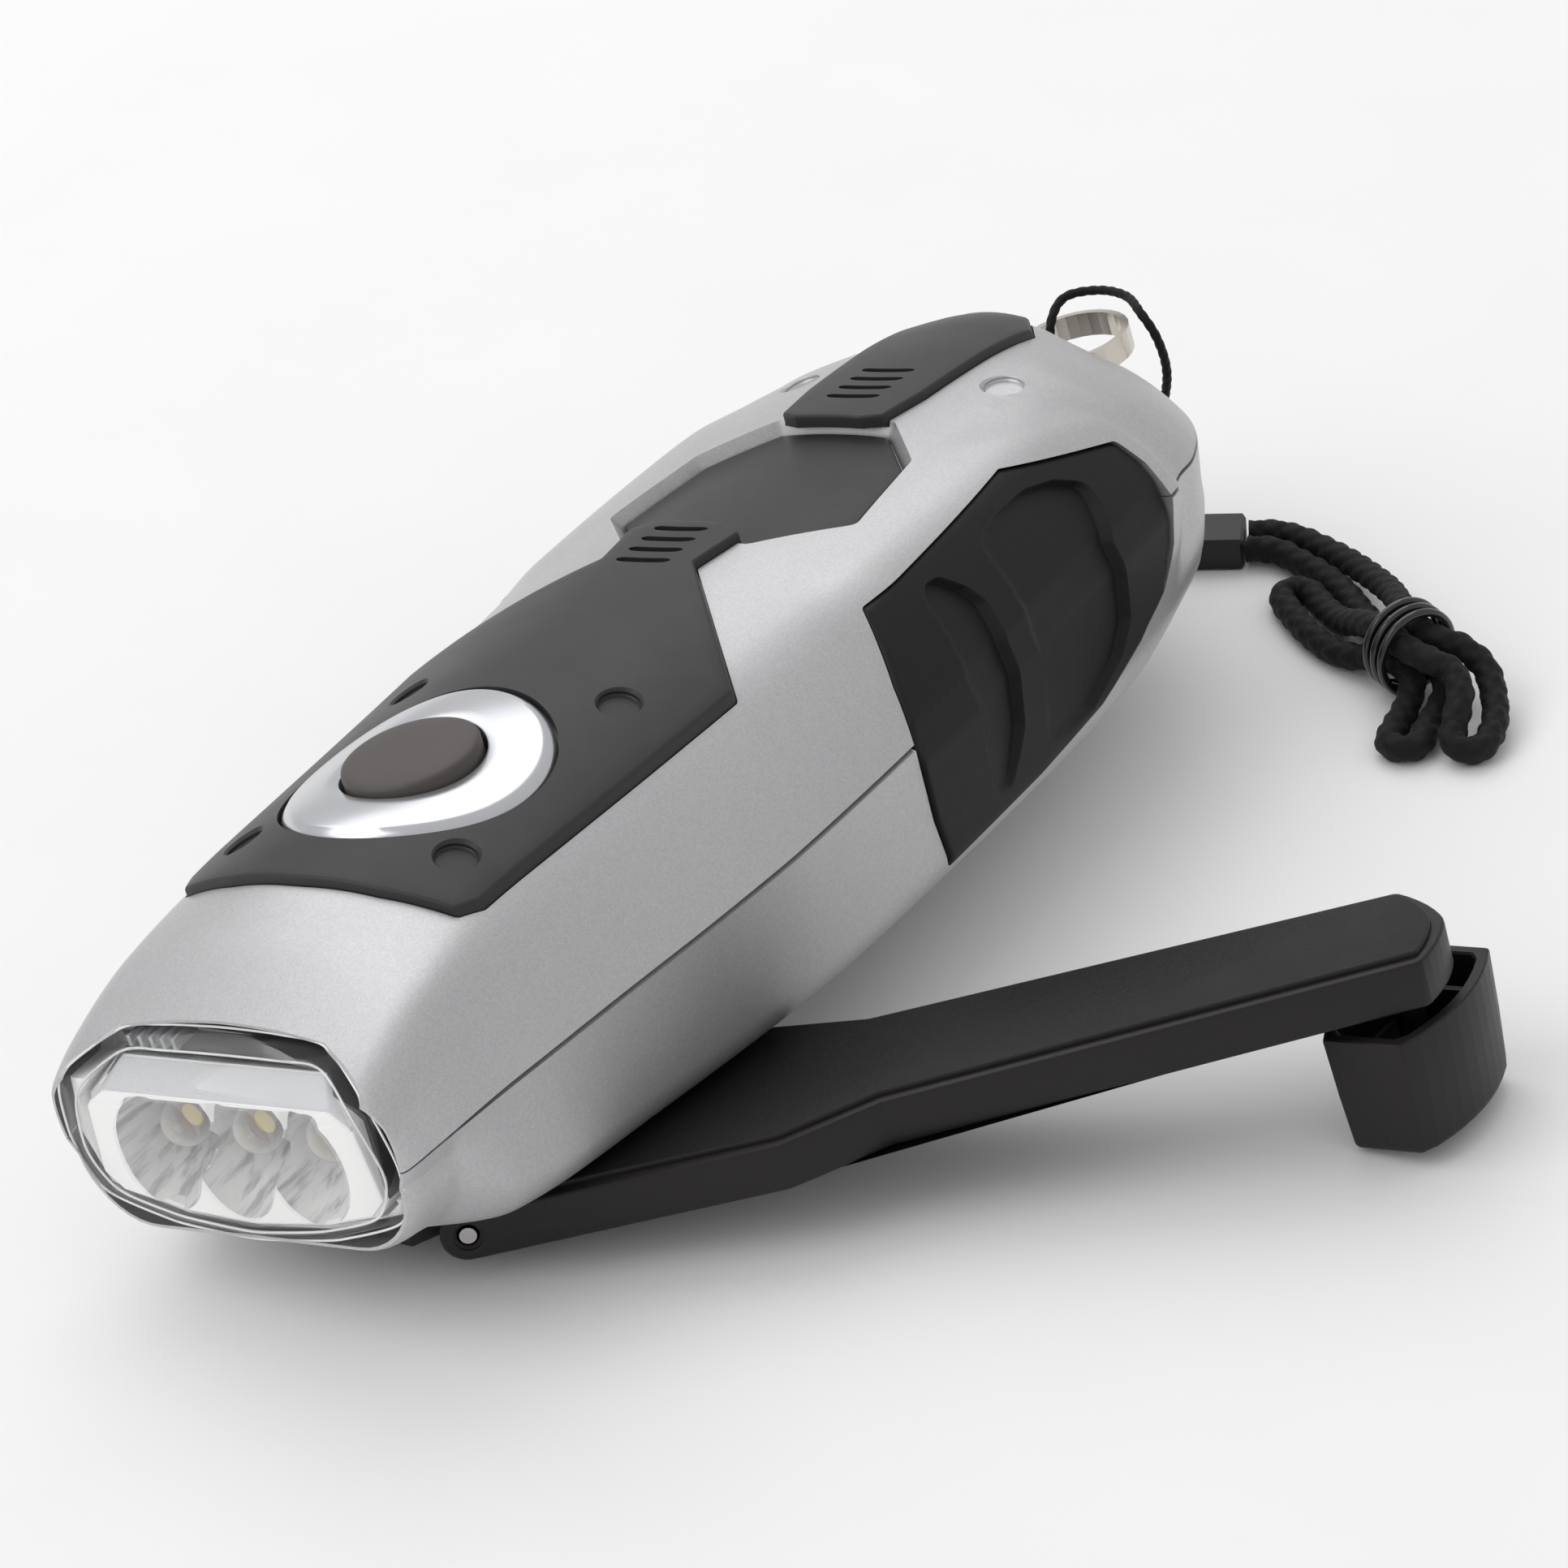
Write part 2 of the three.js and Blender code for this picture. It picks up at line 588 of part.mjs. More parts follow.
function upperShell() {
  const walls = outer.subtract(inner);
  const above = box(-BODY_WIDTH, BODY_WIDTH, -BODY_WIDTH, BODY_LENGTH, PARTING_Z + GAP / 2, DECK_SPAN);
  const pockets = [
    prism(grown(frontPanelOutline, GAP), ...deckRange).subtract(panelPocket),
    prism(grown(rearPanelOutline, GAP), ...deckRange).subtract(panelPocket),
    prism(grown(midPanelOutline, GAP), ...deckRange).subtract(midPocket),
    prismX(grown(gripOutline, GAP), 0, BODY_WIDTH).subtract(gripPocket),
    prismX(grown(gripOutline, GAP), -BODY_WIDTH, 0).subtract(gripPocket),
  ];
  const buttonWell = post(0, SWITCH_Y, PARTING_Z, DECK_SPAN, BUTTON_RADIUS + BUTTON_FLANGE + GAP);
  const bosses = shellScrewPlaces.map(([x, y]) =>
    post(x, y, PARTING_Z + GAP / 2, crownAt(y), SHELL_BOSS_RADIUS).intersect(hull(SHELL_WALL / 2)));
  const bores = shellScrewPlaces.map(([x, y]) =>
    post(x, y, PARTING_Z - OVERRUN, PARTING_Z + SHELL_SCREW_LENGTH / 2, SHELL_SCREW_RADIUS + GAP));
  const tailDimples = dimples(TAIL_DIMPLE_Y, crownAt(TAIL_DIMPLE_Y) - DIMPLE_RADIUS);
  const tailBlock = box(RING_X - RING_RADIUS, RING_X + RING_RADIUS, ringY - 2 * RING_RADIUS, tailEnd,
    PARTING_Z, 0).intersect(hull(SHELL_WALL / 2));
  const midSeat = prism(grown(midPanelOutline, SHELL_WALL), ...deckRange)
    .intersect(hull(SHELL_WALL / 2)).subtract(hull(MID_PANEL_SUNK + SHELL_WALL));
  const whole = join(walls, tailBlock, midSeat, ...bosses, ...boardPosts()).intersect(above);
  return cut(whole, ...pockets, buttonWell, ...bores, noseCut(0), tailDimples, lugSlot(), strapPin());
}

// The tail's slot for the strap ring, and its upright pin
const tailEnd = sections[sections.length - 1].y;
const lugPinY = tailEnd - LUG_PIN_WALL;
const ringY = lugPinY + RING_RADIUS - RING_BAND - LUG_PIN_RADIUS - 2 * GAP;

function lugSlot() {
  const half = RING_RADIUS + RING_BAND;
  return box(RING_X - half, RING_X + half, ringY - half, ringY + half,
    RING_Z - RING_HEIGHT / 2 - GAP, RING_Z + RING_HEIGHT / 2 + GAP);
}

function strapPin() {
  const half = RING_HEIGHT / 2 + GAP + LUG_SEAT;
  return post(RING_X, lugPinY, RING_Z - half + GAP, RING_Z + half, LUG_PIN_RADIUS,
    LUG_PIN_RADIUS, 12);
}

function strapRing() {
  const inside = RING_RADIUS - RING_BAND;
  const band = post(RING_X, ringY, RING_Z - RING_HEIGHT / 2, RING_Z + RING_HEIGHT / 2, RING_RADIUS,
    RING_RADIUS, 28);
  return band.subtract(post(RING_X, ringY, RING_Z - RING_HEIGHT, RING_Z + RING_HEIGHT, inside,
    inside, 28));
}

function lowerShell() {
  const below = box(-BODY_WIDTH, BODY_WIDTH, -BODY_WIDTH, BODY_LENGTH, -BODY_WIDTH,
    PARTING_Z - GAP / 2);
  const pocketBox = toBody(prism(knobOutline(GAP * 4 + SHELL_WALL / 2, knobPocketY), 0,
    knobPocketTop + SHELL_WALL / 2)).intersect(hull(SHELL_WALL / 2));
  const pocketVoid = toBody(prism(knobOutline(GAP * 4, knobPocketY), -OVERRUN, knobPocketTop));
  const bosses = shellScrewPlaces.map(([x, y]) =>
    post(x, y, bellyAt(y), PARTING_Z - GAP / 2, SHELL_BOSS_RADIUS + HEAD_HOLE / 2)
      .intersect(hull(SHELL_WALL / 2)));
  const bores = shellScrewPlaces.map(([x, y]) => join(
    post(x, y, bellyAt(y) - OVERRUN, PARTING_Z, SHELL_SCREW_RADIUS + GAP),
    post(x, y, bellyAt(y) - OVERRUN, shellScrewHeadZ + GAP, HEAD_HOLE)));
  const stands = platePosts.map(([x, y]) =>
    toBody(post(x, y, SHELL_WALL / 2, plateZ - GAP, POST_RADIUS)));
  const standBores = platePosts.map(([x, y]) =>
    toBody(post(x, y, plateZ - PLATE_SCREW_LENGTH, plateZ, PLATE_SCREW_RADIUS + GAP)));
  const hubWell = toBody(join(
    post(0, 0, -OVERRUN, HUB_DISC + GAP, HUB_RADIUS + GAP, HUB_RADIUS + GAP, 36),
    post(0, 0, 0, GEAR_FLOOR + GEAR_STACK, HUB_SHAFT_RADIUS + GAP)));
  const hubBoss = toBody(post(0, 0, SHELL_WALL / 2, GEAR_FLOOR - GAP, HUB_RADIUS + SHELL_WALL,
    HUB_RADIUS + SHELL_WALL, 36));
  const grips = [1, -1].map((side) => prismX(grown(gripOutline, GAP),
    side > 0 ? 0 : -BODY_WIDTH, side > 0 ? BODY_WIDTH : 0).subtract(gripPocket));
  const axleSeats = [idler1Place, idler2Place, rotorPlace].map(([x, y]) =>
    toBody(post(x, y, SHELL_WALL - GAP * 2, GEAR_FLOOR, AXLE_RADIUS + GAP)));
  const whole = join(outer.subtract(inner), pocketBox, hubBoss, ...bosses, ...stands)
    .intersect(below).intersect(hull(0));
  return cut(whole, pocketVoid, hubWell, ...bores, ...standBores, ...grips, ...axleSeats,
    noseCut(0), lugSlot());
}
const shellScrewHeadZ = bellyAt(REAR_SCREW_Y) + 2 * SHELL_SCREW_HEAD_HEIGHT + SHELL_WALL;

function shellScrew([x, y]) {
  const shank = post(x, y, shellScrewHeadZ - SHELL_SCREW_HEAD_HEIGHT / 2,
    shellScrewHeadZ + SHELL_SCREW_LENGTH, SHELL_SCREW_RADIUS, SHELL_SCREW_RADIUS, 8);
  const head = post(x, y, shellScrewHeadZ - SHELL_SCREW_HEAD_HEIGHT, shellScrewHeadZ,
    SHELL_SCREW_HEAD);
  const cross = join(
    box(x - SHELL_SCREW_HEAD / 2, x + SHELL_SCREW_HEAD / 2, y - GAP, y + GAP,
      shellScrewHeadZ - OVERRUN - SHELL_SCREW_HEAD_HEIGHT,
      shellScrewHeadZ - SHELL_SCREW_HEAD_HEIGHT / 2),
    box(x - GAP, x + GAP, y - SHELL_SCREW_HEAD / 2, y + SHELL_SCREW_HEAD / 2,
      shellScrewHeadZ - OVERRUN - SHELL_SCREW_HEAD_HEIGHT,
      shellScrewHeadZ - SHELL_SCREW_HEAD_HEIGHT / 2));
  return join(shank, head).subtract(cross);
}

// Deck inlays
function frontPanel() {
  const plate = prism(frontPanelOutline, ...deckRange).intersect(panelTop).subtract(panelBed);
  const ringSeat = post(0, SWITCH_Y, -DECK_SPAN, DECK_SPAN, SWITCH_RADIUS + GAP,
    SWITCH_RADIUS + GAP, 36);
  return cut(plate, ringSeat, slots(FRONT_SLOTS_Y, crownAt(FRONT_SLOTS_Y) + PANEL_PROUD),
    dimples(0, 0), dimples(DIMPLE_Y, 0));
}

function midPanel() {
  return prism(midPanelOutline, ...deckRange).intersect(midTop).subtract(midBed);
}

function rearPanel() {
  const plate = prism(rearPanelOutline, ...deckRange).intersect(panelTop).subtract(panelBed);
  return plate.subtract(slots(REAR_SLOTS_Y, crownAt(REAR_SLOTS_Y) + PANEL_PROUD / 2));
}

// The bezel is a ring whose lower face follows the shell
function switchRing() {
  const ring = post(0, SWITCH_Y, switchTopZ - SWITCH_RING_HEIGHT * 3, switchTopZ, SWITCH_RADIUS,
    SWITCH_RADIUS, 36).intersect(hull(-PANEL_PROUD - SWITCH_RING_PROUD));
  const bore = post(0, SWITCH_Y, -DECK_SPAN, DECK_SPAN, BUTTON_RADIUS + GAP, BUTTON_RADIUS + GAP, 36);
  return cut(ring, bore, panelBed.intersect(box(-BODY_WIDTH, BODY_WIDTH, -BODY_WIDTH, BODY_LENGTH,
    -DECK_SPAN, DECK_SPAN)));
}

function switchButton() {
  const skirt = switchTopZ - BUTTON_HEIGHT;
  return turned(0, SWITCH_Y, [
    [tactTopZ + BUTTON_TRAVEL + GAP, BUTTON_RADIUS / 3], [skirt, BUTTON_RADIUS / 3],
    [skirt, BUTTON_RADIUS], [switchTopZ + BUTTON_PROUD / 2, BUTTON_RADIUS],
    [switchTopZ + BUTTON_PROUD, BUTTON_RADIUS * 0.8],
  ], 32);
}
const mainBoardTop = switchTopZ - BUTTON_HEIGHT - BUTTON_TRAVEL * 2 - TACT_HEIGHT;
const tactTopZ = mainBoardTop + TACT_HEIGHT;

function tactSwitch() {
  const half = TACT_SIZE / 2;
  return join(
    box(-half, half, SWITCH_Y - half, SWITCH_Y + half, mainBoardTop + GAP,
      mainBoardTop + TACT_HEIGHT * 0.7),
    post(0, SWITCH_Y, mainBoardTop + TACT_HEIGHT / 2, tactTopZ, TACT_SIZE / 4));
}

// The board hangs from four posts in the upper shell
function boardPosts() {
  const x = MAIN_BOARD_WIDTH / 2 - BOARD_POST_RADIUS;
  const y = MAIN_BOARD_LENGTH / 2 - BOARD_POST_RADIUS;
  return [[x, y], [-x, y], [x, -y], [-x, -y]].map(([dx, dy]) =>
    post(dx, MAIN_BOARD_Y + dy, mainBoardTop, 0, BOARD_POST_RADIUS, BOARD_POST_RADIUS, 10)
      .intersect(hull(SHELL_WALL / 2)));
}

function mainBoard() {
  return box(-MAIN_BOARD_WIDTH / 2, MAIN_BOARD_WIDTH / 2, MAIN_BOARD_Y - MAIN_BOARD_LENGTH / 2,
    MAIN_BOARD_Y + MAIN_BOARD_LENGTH / 2, mainBoardTop - BOARD_THICKNESS, mainBoardTop);
}

// Grips
function grip(side) {
  const prismRange = side > 0 ? [0, BODY_WIDTH] : [-BODY_WIDTH, 0];
  const pad = prismX(gripOutline, ...prismRange).intersect(gripTop).subtract(gripBed);
  const grooves = GRIP_GROOVE_SHARES.map((shares) => prismX(shares.map(([along, up]) =>
    [GRIP_Y + along * GRIP_LENGTH, GRIP_Z + up * GRIP_HEIGHT]), ...prismRange)
    .subtract(hull(GRIP_GROOVE - GRIP_PROUD)));
  return cut(pad, ...grooves);
}

// Lamp
function lensCover() {
  const block = hull(GAP).subtract(noseCut(LENS_DEPTH)).intersect(noseCut(GAP));
  const hollow = hull(LENS_INSET + LENS_WALL / 2).subtract(noseCut(LENS_DEPTH - LENS_WALL));
  return block.subtract(hollow);
}
const ledX = (i) => (i - (LED_COUNT - 1) / 2) * LED_PITCH;

function reflector() {
  const y0 = REFLECTOR_FRONT_Y + LENS_WALL;
  const y1 = y0 + REFLECTOR_DEPTH;
  const half = REFLECTOR_HEIGHT / 2;
  const outline = mirrored([
    [REFLECTOR_WIDTH * 0.34, y0], [REFLECTOR_WIDTH / 2, y0 + 1.2 * LENS_WALL],
    [REFLECTOR_WIDTH / 2, y1],
  ]);
  const block = prism(outline, LED_Z - half, LED_Z + half);
  const cups = [];
  for (let i = 0; i < LED_COUNT; i += 1) {
    cups.push(barY(y0 - OVERRUN, y1 - LENS_WALL, ledX(i), LED_Z, CAVITY_RADIUS + GAP,
      CAVITY_FLOOR_RADIUS));
    cups.push(barY(y1 - OVERRUN, y1 + OVERRUN, ledX(i), LED_Z, LED_RADIUS + GAP));
  }
  return cut(block, ...cups).intersect(hull(SHELL_WALL + GAP));
}

function led(i) {
  const back = REFLECTOR_FRONT_Y + LENS_WALL + REFLECTOR_DEPTH + GAP;
  const front = back - LED_LENGTH;
  const barrel = barY(front + LED_RADIUS, back, ledX(i), LED_Z, LED_RADIUS);
  const dome = new THREE.SphereGeometry(LED_RADIUS, 12, 6);
  dome.translate(ledX(i), front + LED_RADIUS, LED_Z);
  return barrel.add(solidOf(dome));
}

function ledBoard() {
  const y = REFLECTOR_FRONT_Y + LENS_WALL + REFLECTOR_DEPTH + 2 * GAP;
  return box(-LED_BOARD_WIDTH / 2, LED_BOARD_WIDTH / 2, y, y + BOARD_THICKNESS,
    LED_Z - LED_BOARD_HEIGHT / 2, LED_Z + LED_BOARD_HEIGHT / 2);
}

// Gears: straight teeth with backlash; toothFirst sets a tooth on the angle, else a gap
function gearOutline(teeth, turn) {
  const pitch = GEAR_MODULE * teeth / 2;
  const tip = pitch + GEAR_MODULE * TOOTH_DEPTH_SHARE;
  const root = pitch - GEAR_MODULE * TOOTH_ROOT_SHARE;
  const step = 2 * Math.PI / teeth;
  const points = [];
  for (let i = 0; i < teeth; i += 1) {
    const middle = i * step + turn;
    [[root, -TOOTH_ROOT_WIDTH_SHARE], [tip, -TOOTH_TIP_WIDTH_SHARE], [tip, TOOTH_TIP_WIDTH_SHARE],
      [root, TOOTH_ROOT_WIDTH_SHARE]].forEach(([radius, share]) => {
      const angle = middle + share * step / 2;
      points.push([radius * Math.cos(angle), radius * Math.sin(angle)]);
    });
  }
  return points;
}

function gear(place, teeth, turn, z0, z1) {
  return prism(gearOutline(teeth, turn).map(([x, y]) => [x + place[0], y + place[1]]), z0, z1);
}

// A wheel with a tooth along the mesh line meets a pinion with a gap there
const toothAt = (angle) => rad(angle);
const gapAt = (angle, teeth) => rad(angle) + Math.PI / teeth;

function crankGear() {
  const wheel = gear(crankPlace, WHEEL_TEETH, toothAt(IDLER_1_ANGLE), gearZ(0),
    gearZ(0) + GEAR_THICKNESS);
  return wheel.subtract(post(0, 0, 0, gearZ(3), HUB_SHAFT_RADIUS * 0.7 + GAP));
}

function idler(place, inAngle, outAngle, level) {
  const low = gear(place, PINION_TEETH, gapAt(inAngle + 180, PINION_TEETH), gearZ(level),
    gearZ(level + 1));
  const high = gear(place, WHEEL_TEETH, toothAt(outAngle), gearZ(level + 1),
    gearZ(level + 1) + GEAR_THICKNESS);
  return low.add(high).subtract(post(...place, 0, plateZ, AXLE_BORE));
}

function idlerAxle([x, y]) {
  return post(x, y, SHELL_WALL, plateZ + GEAR_PLATE_THICKNESS / 2, AXLE_RADIUS, AXLE_RADIUS, 16);
}

function rotorShaft() {
  const pinion = gear(rotorPlace, PINION_TEETH, gapAt(ROTOR_ANGLE + 180, PINION_TEETH), gearZ(2),
    gearZ(2) + GEAR_THICKNESS);
  return pinion.add(idlerAxle(rotorPlace));
}

function rotorMagnet() {
  const z0 = GEAR_FLOOR + STATOR_FLANGE - GAP;
  return post(...rotorPlace, z0, z0 + ROTOR_HEIGHT - GAP, ROTOR_RADIUS)
    .subtract(post(...rotorPlace, 0, plateZ, AXLE_RADIUS + GAP));
}

function statorCore() {
  const [x, y] = rotorPlace;
  const z0 = SHELL_WALL + GAP;
  const z1 = gearZ(2) - 2 * GAP;
  const ring = cut(post(x, y, z0, z1, STATOR_OUTER, STATOR_OUTER, 24),
    post(x, y, 0, plateZ, STATOR_INNER, STATOR_INNER, 24));
  const groove = cut(post(x, y, z0 + STATOR_FLANGE, z1 - STATOR_FLANGE, STATOR_OUTER + GAP,
    STATOR_OUTER + GAP, 24), post(x, y, 0, plateZ, COIL_INNER - GAP, COIL_INNER - GAP, 24));
  return ring.subtract(groove);
}

function statorCoil() {
  const [x, y] = rotorPlace;
  return cut(post(x, y, SHELL_WALL + 2 * GAP + STATOR_FLANGE, gearZ(2) - 3 * GAP - STATOR_FLANGE,
    COIL_RADIUS, COIL_RADIUS, 24), post(x, y, 0, plateZ, COIL_INNER, COIL_INNER, 24));
}

function gearPlate() {
  const places = [idler1Place, idler2Place, rotorPlace, ...platePosts];
  const xs = places.map(([x]) => x);
  const ys = places.map(([, y]) => y);
  const plate = prism([
    [Math.min(...xs) - GEAR_PLATE_MARGIN, Math.min(...ys) - GEAR_PLATE_MARGIN],
    [Math.max(...xs) + GEAR_PLATE_MARGIN, Math.min(...ys) - GEAR_PLATE_MARGIN],
    [Math.max(...xs) + GEAR_PLATE_MARGIN, Math.max(...ys)],
    [rotorPlace[0] + GEAR_PLATE_MARGIN, Math.max(...ys) + GEAR_PLATE_MARGIN],
    [rotorPlace[0] - GEAR_PLATE_MARGIN, Math.max(...ys) + GEAR_PLATE_MARGIN],
    [Math.min(...xs) - GEAR_PLATE_MARGIN, Math.min(...ys) + GEAR_PLATE_MARGIN],
  ], plateZ, plateZ + GEAR_PLATE_THICKNESS);
  const bores = [idler1Place, idler2Place, rotorPlace].map(([x, y]) =>
    post(x, y, 0, plateZ + OVERRUN * 2, AXLE_RADIUS + GAP));
  const screwBores = platePosts.map(([x, y]) =>
    post(x, y, 0, plateZ + OVERRUN * 2, PLATE_SCREW_RADIUS + GAP));
  return cut(plate, ...bores, ...screwBores);
}

function plateScrew([x, y]) {
  const top = plateZ + GEAR_PLATE_THICKNESS + GAP;
  return join(post(x, y, top - PLATE_SCREW_LENGTH, top + GAP, PLATE_SCREW_RADIUS),
    post(x, y, top, top + PLATE_SCREW_RADIUS, PLATE_SCREW_HEAD));
}

// Crank, in its own frame: X along the arm, origin on the hub's axis
function crankHub() {
  const disc = post(0, 0, -ARM_TOP, HUB_DISC, HUB_RADIUS, HUB_RADIUS, 36);
  const halfWide = HUB_BLOCK_WIDTH / 2;
  const knuckleHalf = ARM_EAR_WIDTH / 2 - EAR_WALL - GAP;
  const block = prism([
    [-HUB_BLOCK_BACK, -HUB_BLOCK_NOSE / 3], [HUB_WIDEST, -halfWide],
    [PIN_OFFSET, -HUB_BLOCK_NOSE / 2], [PIN_OFFSET, HUB_BLOCK_NOSE / 2],
    [HUB_WIDEST, halfWide], [-HUB_BLOCK_BACK, HUB_BLOCK_NOSE / 3],
  ], -HUB_BLOCK_DEPTH, GAP);
  const knuckle = barYAcross(knuckleHalf, KNUCKLE_RADIUS);
  const shaft = post(0, 0, 0, gearZ(0) - GAP, HUB_SHAFT_RADIUS);
  const spigot = post(0, 0, 0, gearZ(0) + GEAR_THICKNESS, HUB_SHAFT_RADIUS * 0.7);
  const screwBore = post(0, 0, GEAR_FLOOR, gearZ(3), HUB_SCREW_RADIUS + GAP);
  const pinBore = barYAcross(ARM_EAR_WIDTH, PIN_BORE);
  return cut(join(disc, block, knuckle, shaft, spigot), screwBore, pinBore);
}

function barYAcross(half, radius) {
  return barY(-half, half, PIN_OFFSET, -PIN_DEPTH, radius);
}

function hubWasher() {
  const z0 = gearZ(0) + GEAR_THICKNESS + GAP;
  return post(0, 0, z0, z0 + HUB_WASHER, HUB_WASHER_RADIUS)
    .subtract(post(0, 0, 0, z0 + OVERRUN, HUB_SCREW_RADIUS + GAP));
}

function hubScrew() {
  const z0 = gearZ(0) + GEAR_THICKNESS + HUB_WASHER + 2 * GAP;
  return join(post(0, 0, GEAR_FLOOR + GAP, z0 + GAP, HUB_SCREW_RADIUS),
    post(0, 0, z0, z0 + HUB_SCREW_RADIUS, HUB_SCREW_HEAD));
}

function hingePin() {
  return barYAcross(ARM_EAR_WIDTH / 2 - GAP, PIN_RADIUS);
}

// Arm outline seen from above, from the ears to the rounded end
function armHalf(inset) {
  const points = [
    [0, ARM_EAR_WIDTH / 2 - inset],
    [ARM_WIDE_END, ARM_WIDE / 2 - inset],
    [ARM_NARROW_START, ARM_WIDTH / 2 - inset],
    [ARM_LENGTH - ARM_END_ROUND / 2, ARM_END_WIDTH / 2 - inset],
  ];
  const arcShares = [[0.35, 0.82], [0.72, 0.5], [0.94, 0.2]];
  arcShares.forEach(([along, across]) => points.push([
    ARM_LENGTH - ARM_END_ROUND / 2 + along * (ARM_END_ROUND / 2) - inset * along,
    across * (ARM_END_WIDTH / 2 - inset)]));
  return points;
}

function armOutline(start, inset) {
  const half = armHalf(inset).map(([x, y], i) => (i === 0 ? [start, y] : [x, y]));
  return [...half.map(([x, y]) => [x, -y]), ...half.slice().reverse()];
}

// The arm hangs from the pin: its frame has the pin at the origin
function crankArm() {
  const ledge = PIN_DEPTH - ARM_TOP - ARM_STEP;
  const bottom = ledge - ARM_HEIGHT;
  const walls = prism(armOutline(0, 0), bottom, ledge);
  const hollow = prism(armOutline(-OVERRUN, ARM_WALL), bottom - OVERRUN,
    ledge + ARM_STEP - ARM_PLATE);
  const opening = box(-OVERRUN, ARM_PLATE_START, -(ARM_EAR_WIDTH / 2 - ARM_WALL),
    ARM_EAR_WIDTH / 2 - ARM_WALL, bottom - OVERRUN, PIN_DEPTH + OVERRUN);
  const plateau = prism(armOutline(ARM_PLATE_START, ARM_LEDGE), ledge - GAP, ledge + ARM_STEP);
  const ears = [1, -1].map((side) => {
    const inside = side * (ARM_EAR_WIDTH / 2 - EAR_WALL);
    const outside = side * ARM_EAR_WIDTH / 2;
    return barY(Math.min(inside, outside), Math.max(inside, outside), 0, bottom + EAR_RADIUS,
      EAR_RADIUS);
  });
  const boss = post(KNOB_REACH, 0, bottom, ledge, KNOB_BOSS_RADIUS);
  const bore = barY(-ARM_EAR_WIDTH, ARM_EAR_WIDTH, 0, 0, PIN_BORE);
  const post1 = post(KNOB_REACH, 0, -knobScrewTop, bottom, KNOB_POST_RADIUS);
  const shell = cut(join(walls, plateau, ...ears), hollow, opening);
  return cut(join(shell, boss, post1), bore,
    post(KNOB_REACH, 0, -knobScrewTop - OVERRUN, -knobScrewTop + OVERRUN, GAP * 2));
}
const knobRim = ARM_HEIGHT + ARM_TOP + ARM_STEP - PIN_DEPTH + KNOB_GAP;
const knobFloor = knobRim + KNOB_HEIGHT * 0.45;
const knobScrewTop = knobFloor + KNOB_WALL + GAP;

function knobScrew() {
  const head = post(0, 0, -knobScrewTop - GAP - KNOB_SCREW_HEAD_HEIGHT, -knobScrewTop - GAP,
    KNOB_SCREW_HEAD);
  return head.add(post(0, 0, -knobScrewTop - GAP * 2, -knobScrewTop + OVERRUN - GAP, GAP));
}

// The knob is hollow on both sides of the web that turns on the post
function crankKnob() {
  const ring = (margin, z) => knobOutline(margin).map(([x, y]) => new THREE.Vector3(x, y, z));
  const bottom = -knobRim - KNOB_HEIGHT;
  const body = loft([ring(-KNOB_DRAFT, bottom), ring(0, -knobRim)]);
  const mouth = loft([ring(-KNOB_WALL - KNOB_DRAFT / 2, -knobFloor),
    ring(-KNOB_WALL, -knobRim + OVERRUN)]);
  const well = post(0, 0, bottom - OVERRUN, -knobFloor - KNOB_WALL, KNOB_SCREW_HEAD + GAP);
  return cut(body, mouth, well, post(0, 0, bottom, 0, KNOB_BORE));
}

// Power
const cellZ = bellyAt(CELL_Y) + SHELL_WALL + HOLDER_WALL + CELL_RADIUS + 3 * GAP;
function cell(i) {
  const pitch = CELL_LENGTH + CELL_GAP;
  const x = (i - (CELL_COUNT - 1) / 2) * pitch;
  return barX(x - CELL_LENGTH / 2, x + CELL_LENGTH / 2, CELL_Y, cellZ, CELL_RADIUS, 28);
}

function batteryHolder() {
  const half = (CELL_COUNT * (CELL_LENGTH + CELL_GAP)) / 2 + GAP;
  const y = CELL_RADIUS + GAP + HOLDER_WALL;
  const block = box(-half - HOLDER_WALL, half + HOLDER_WALL, CELL_Y - y, CELL_Y + y,
    cellZ - CELL_RADIUS - GAP - HOLDER_WALL, cellZ);
  return cut(block, barX(-half, half, CELL_Y, cellZ, CELL_RADIUS + GAP, 28),
    box(-half, half, CELL_Y - CELL_RADIUS, CELL_Y + CELL_RADIUS, cellZ, cellZ + OVERRUN))
    .intersect(hull(SHELL_WALL + GAP));
}

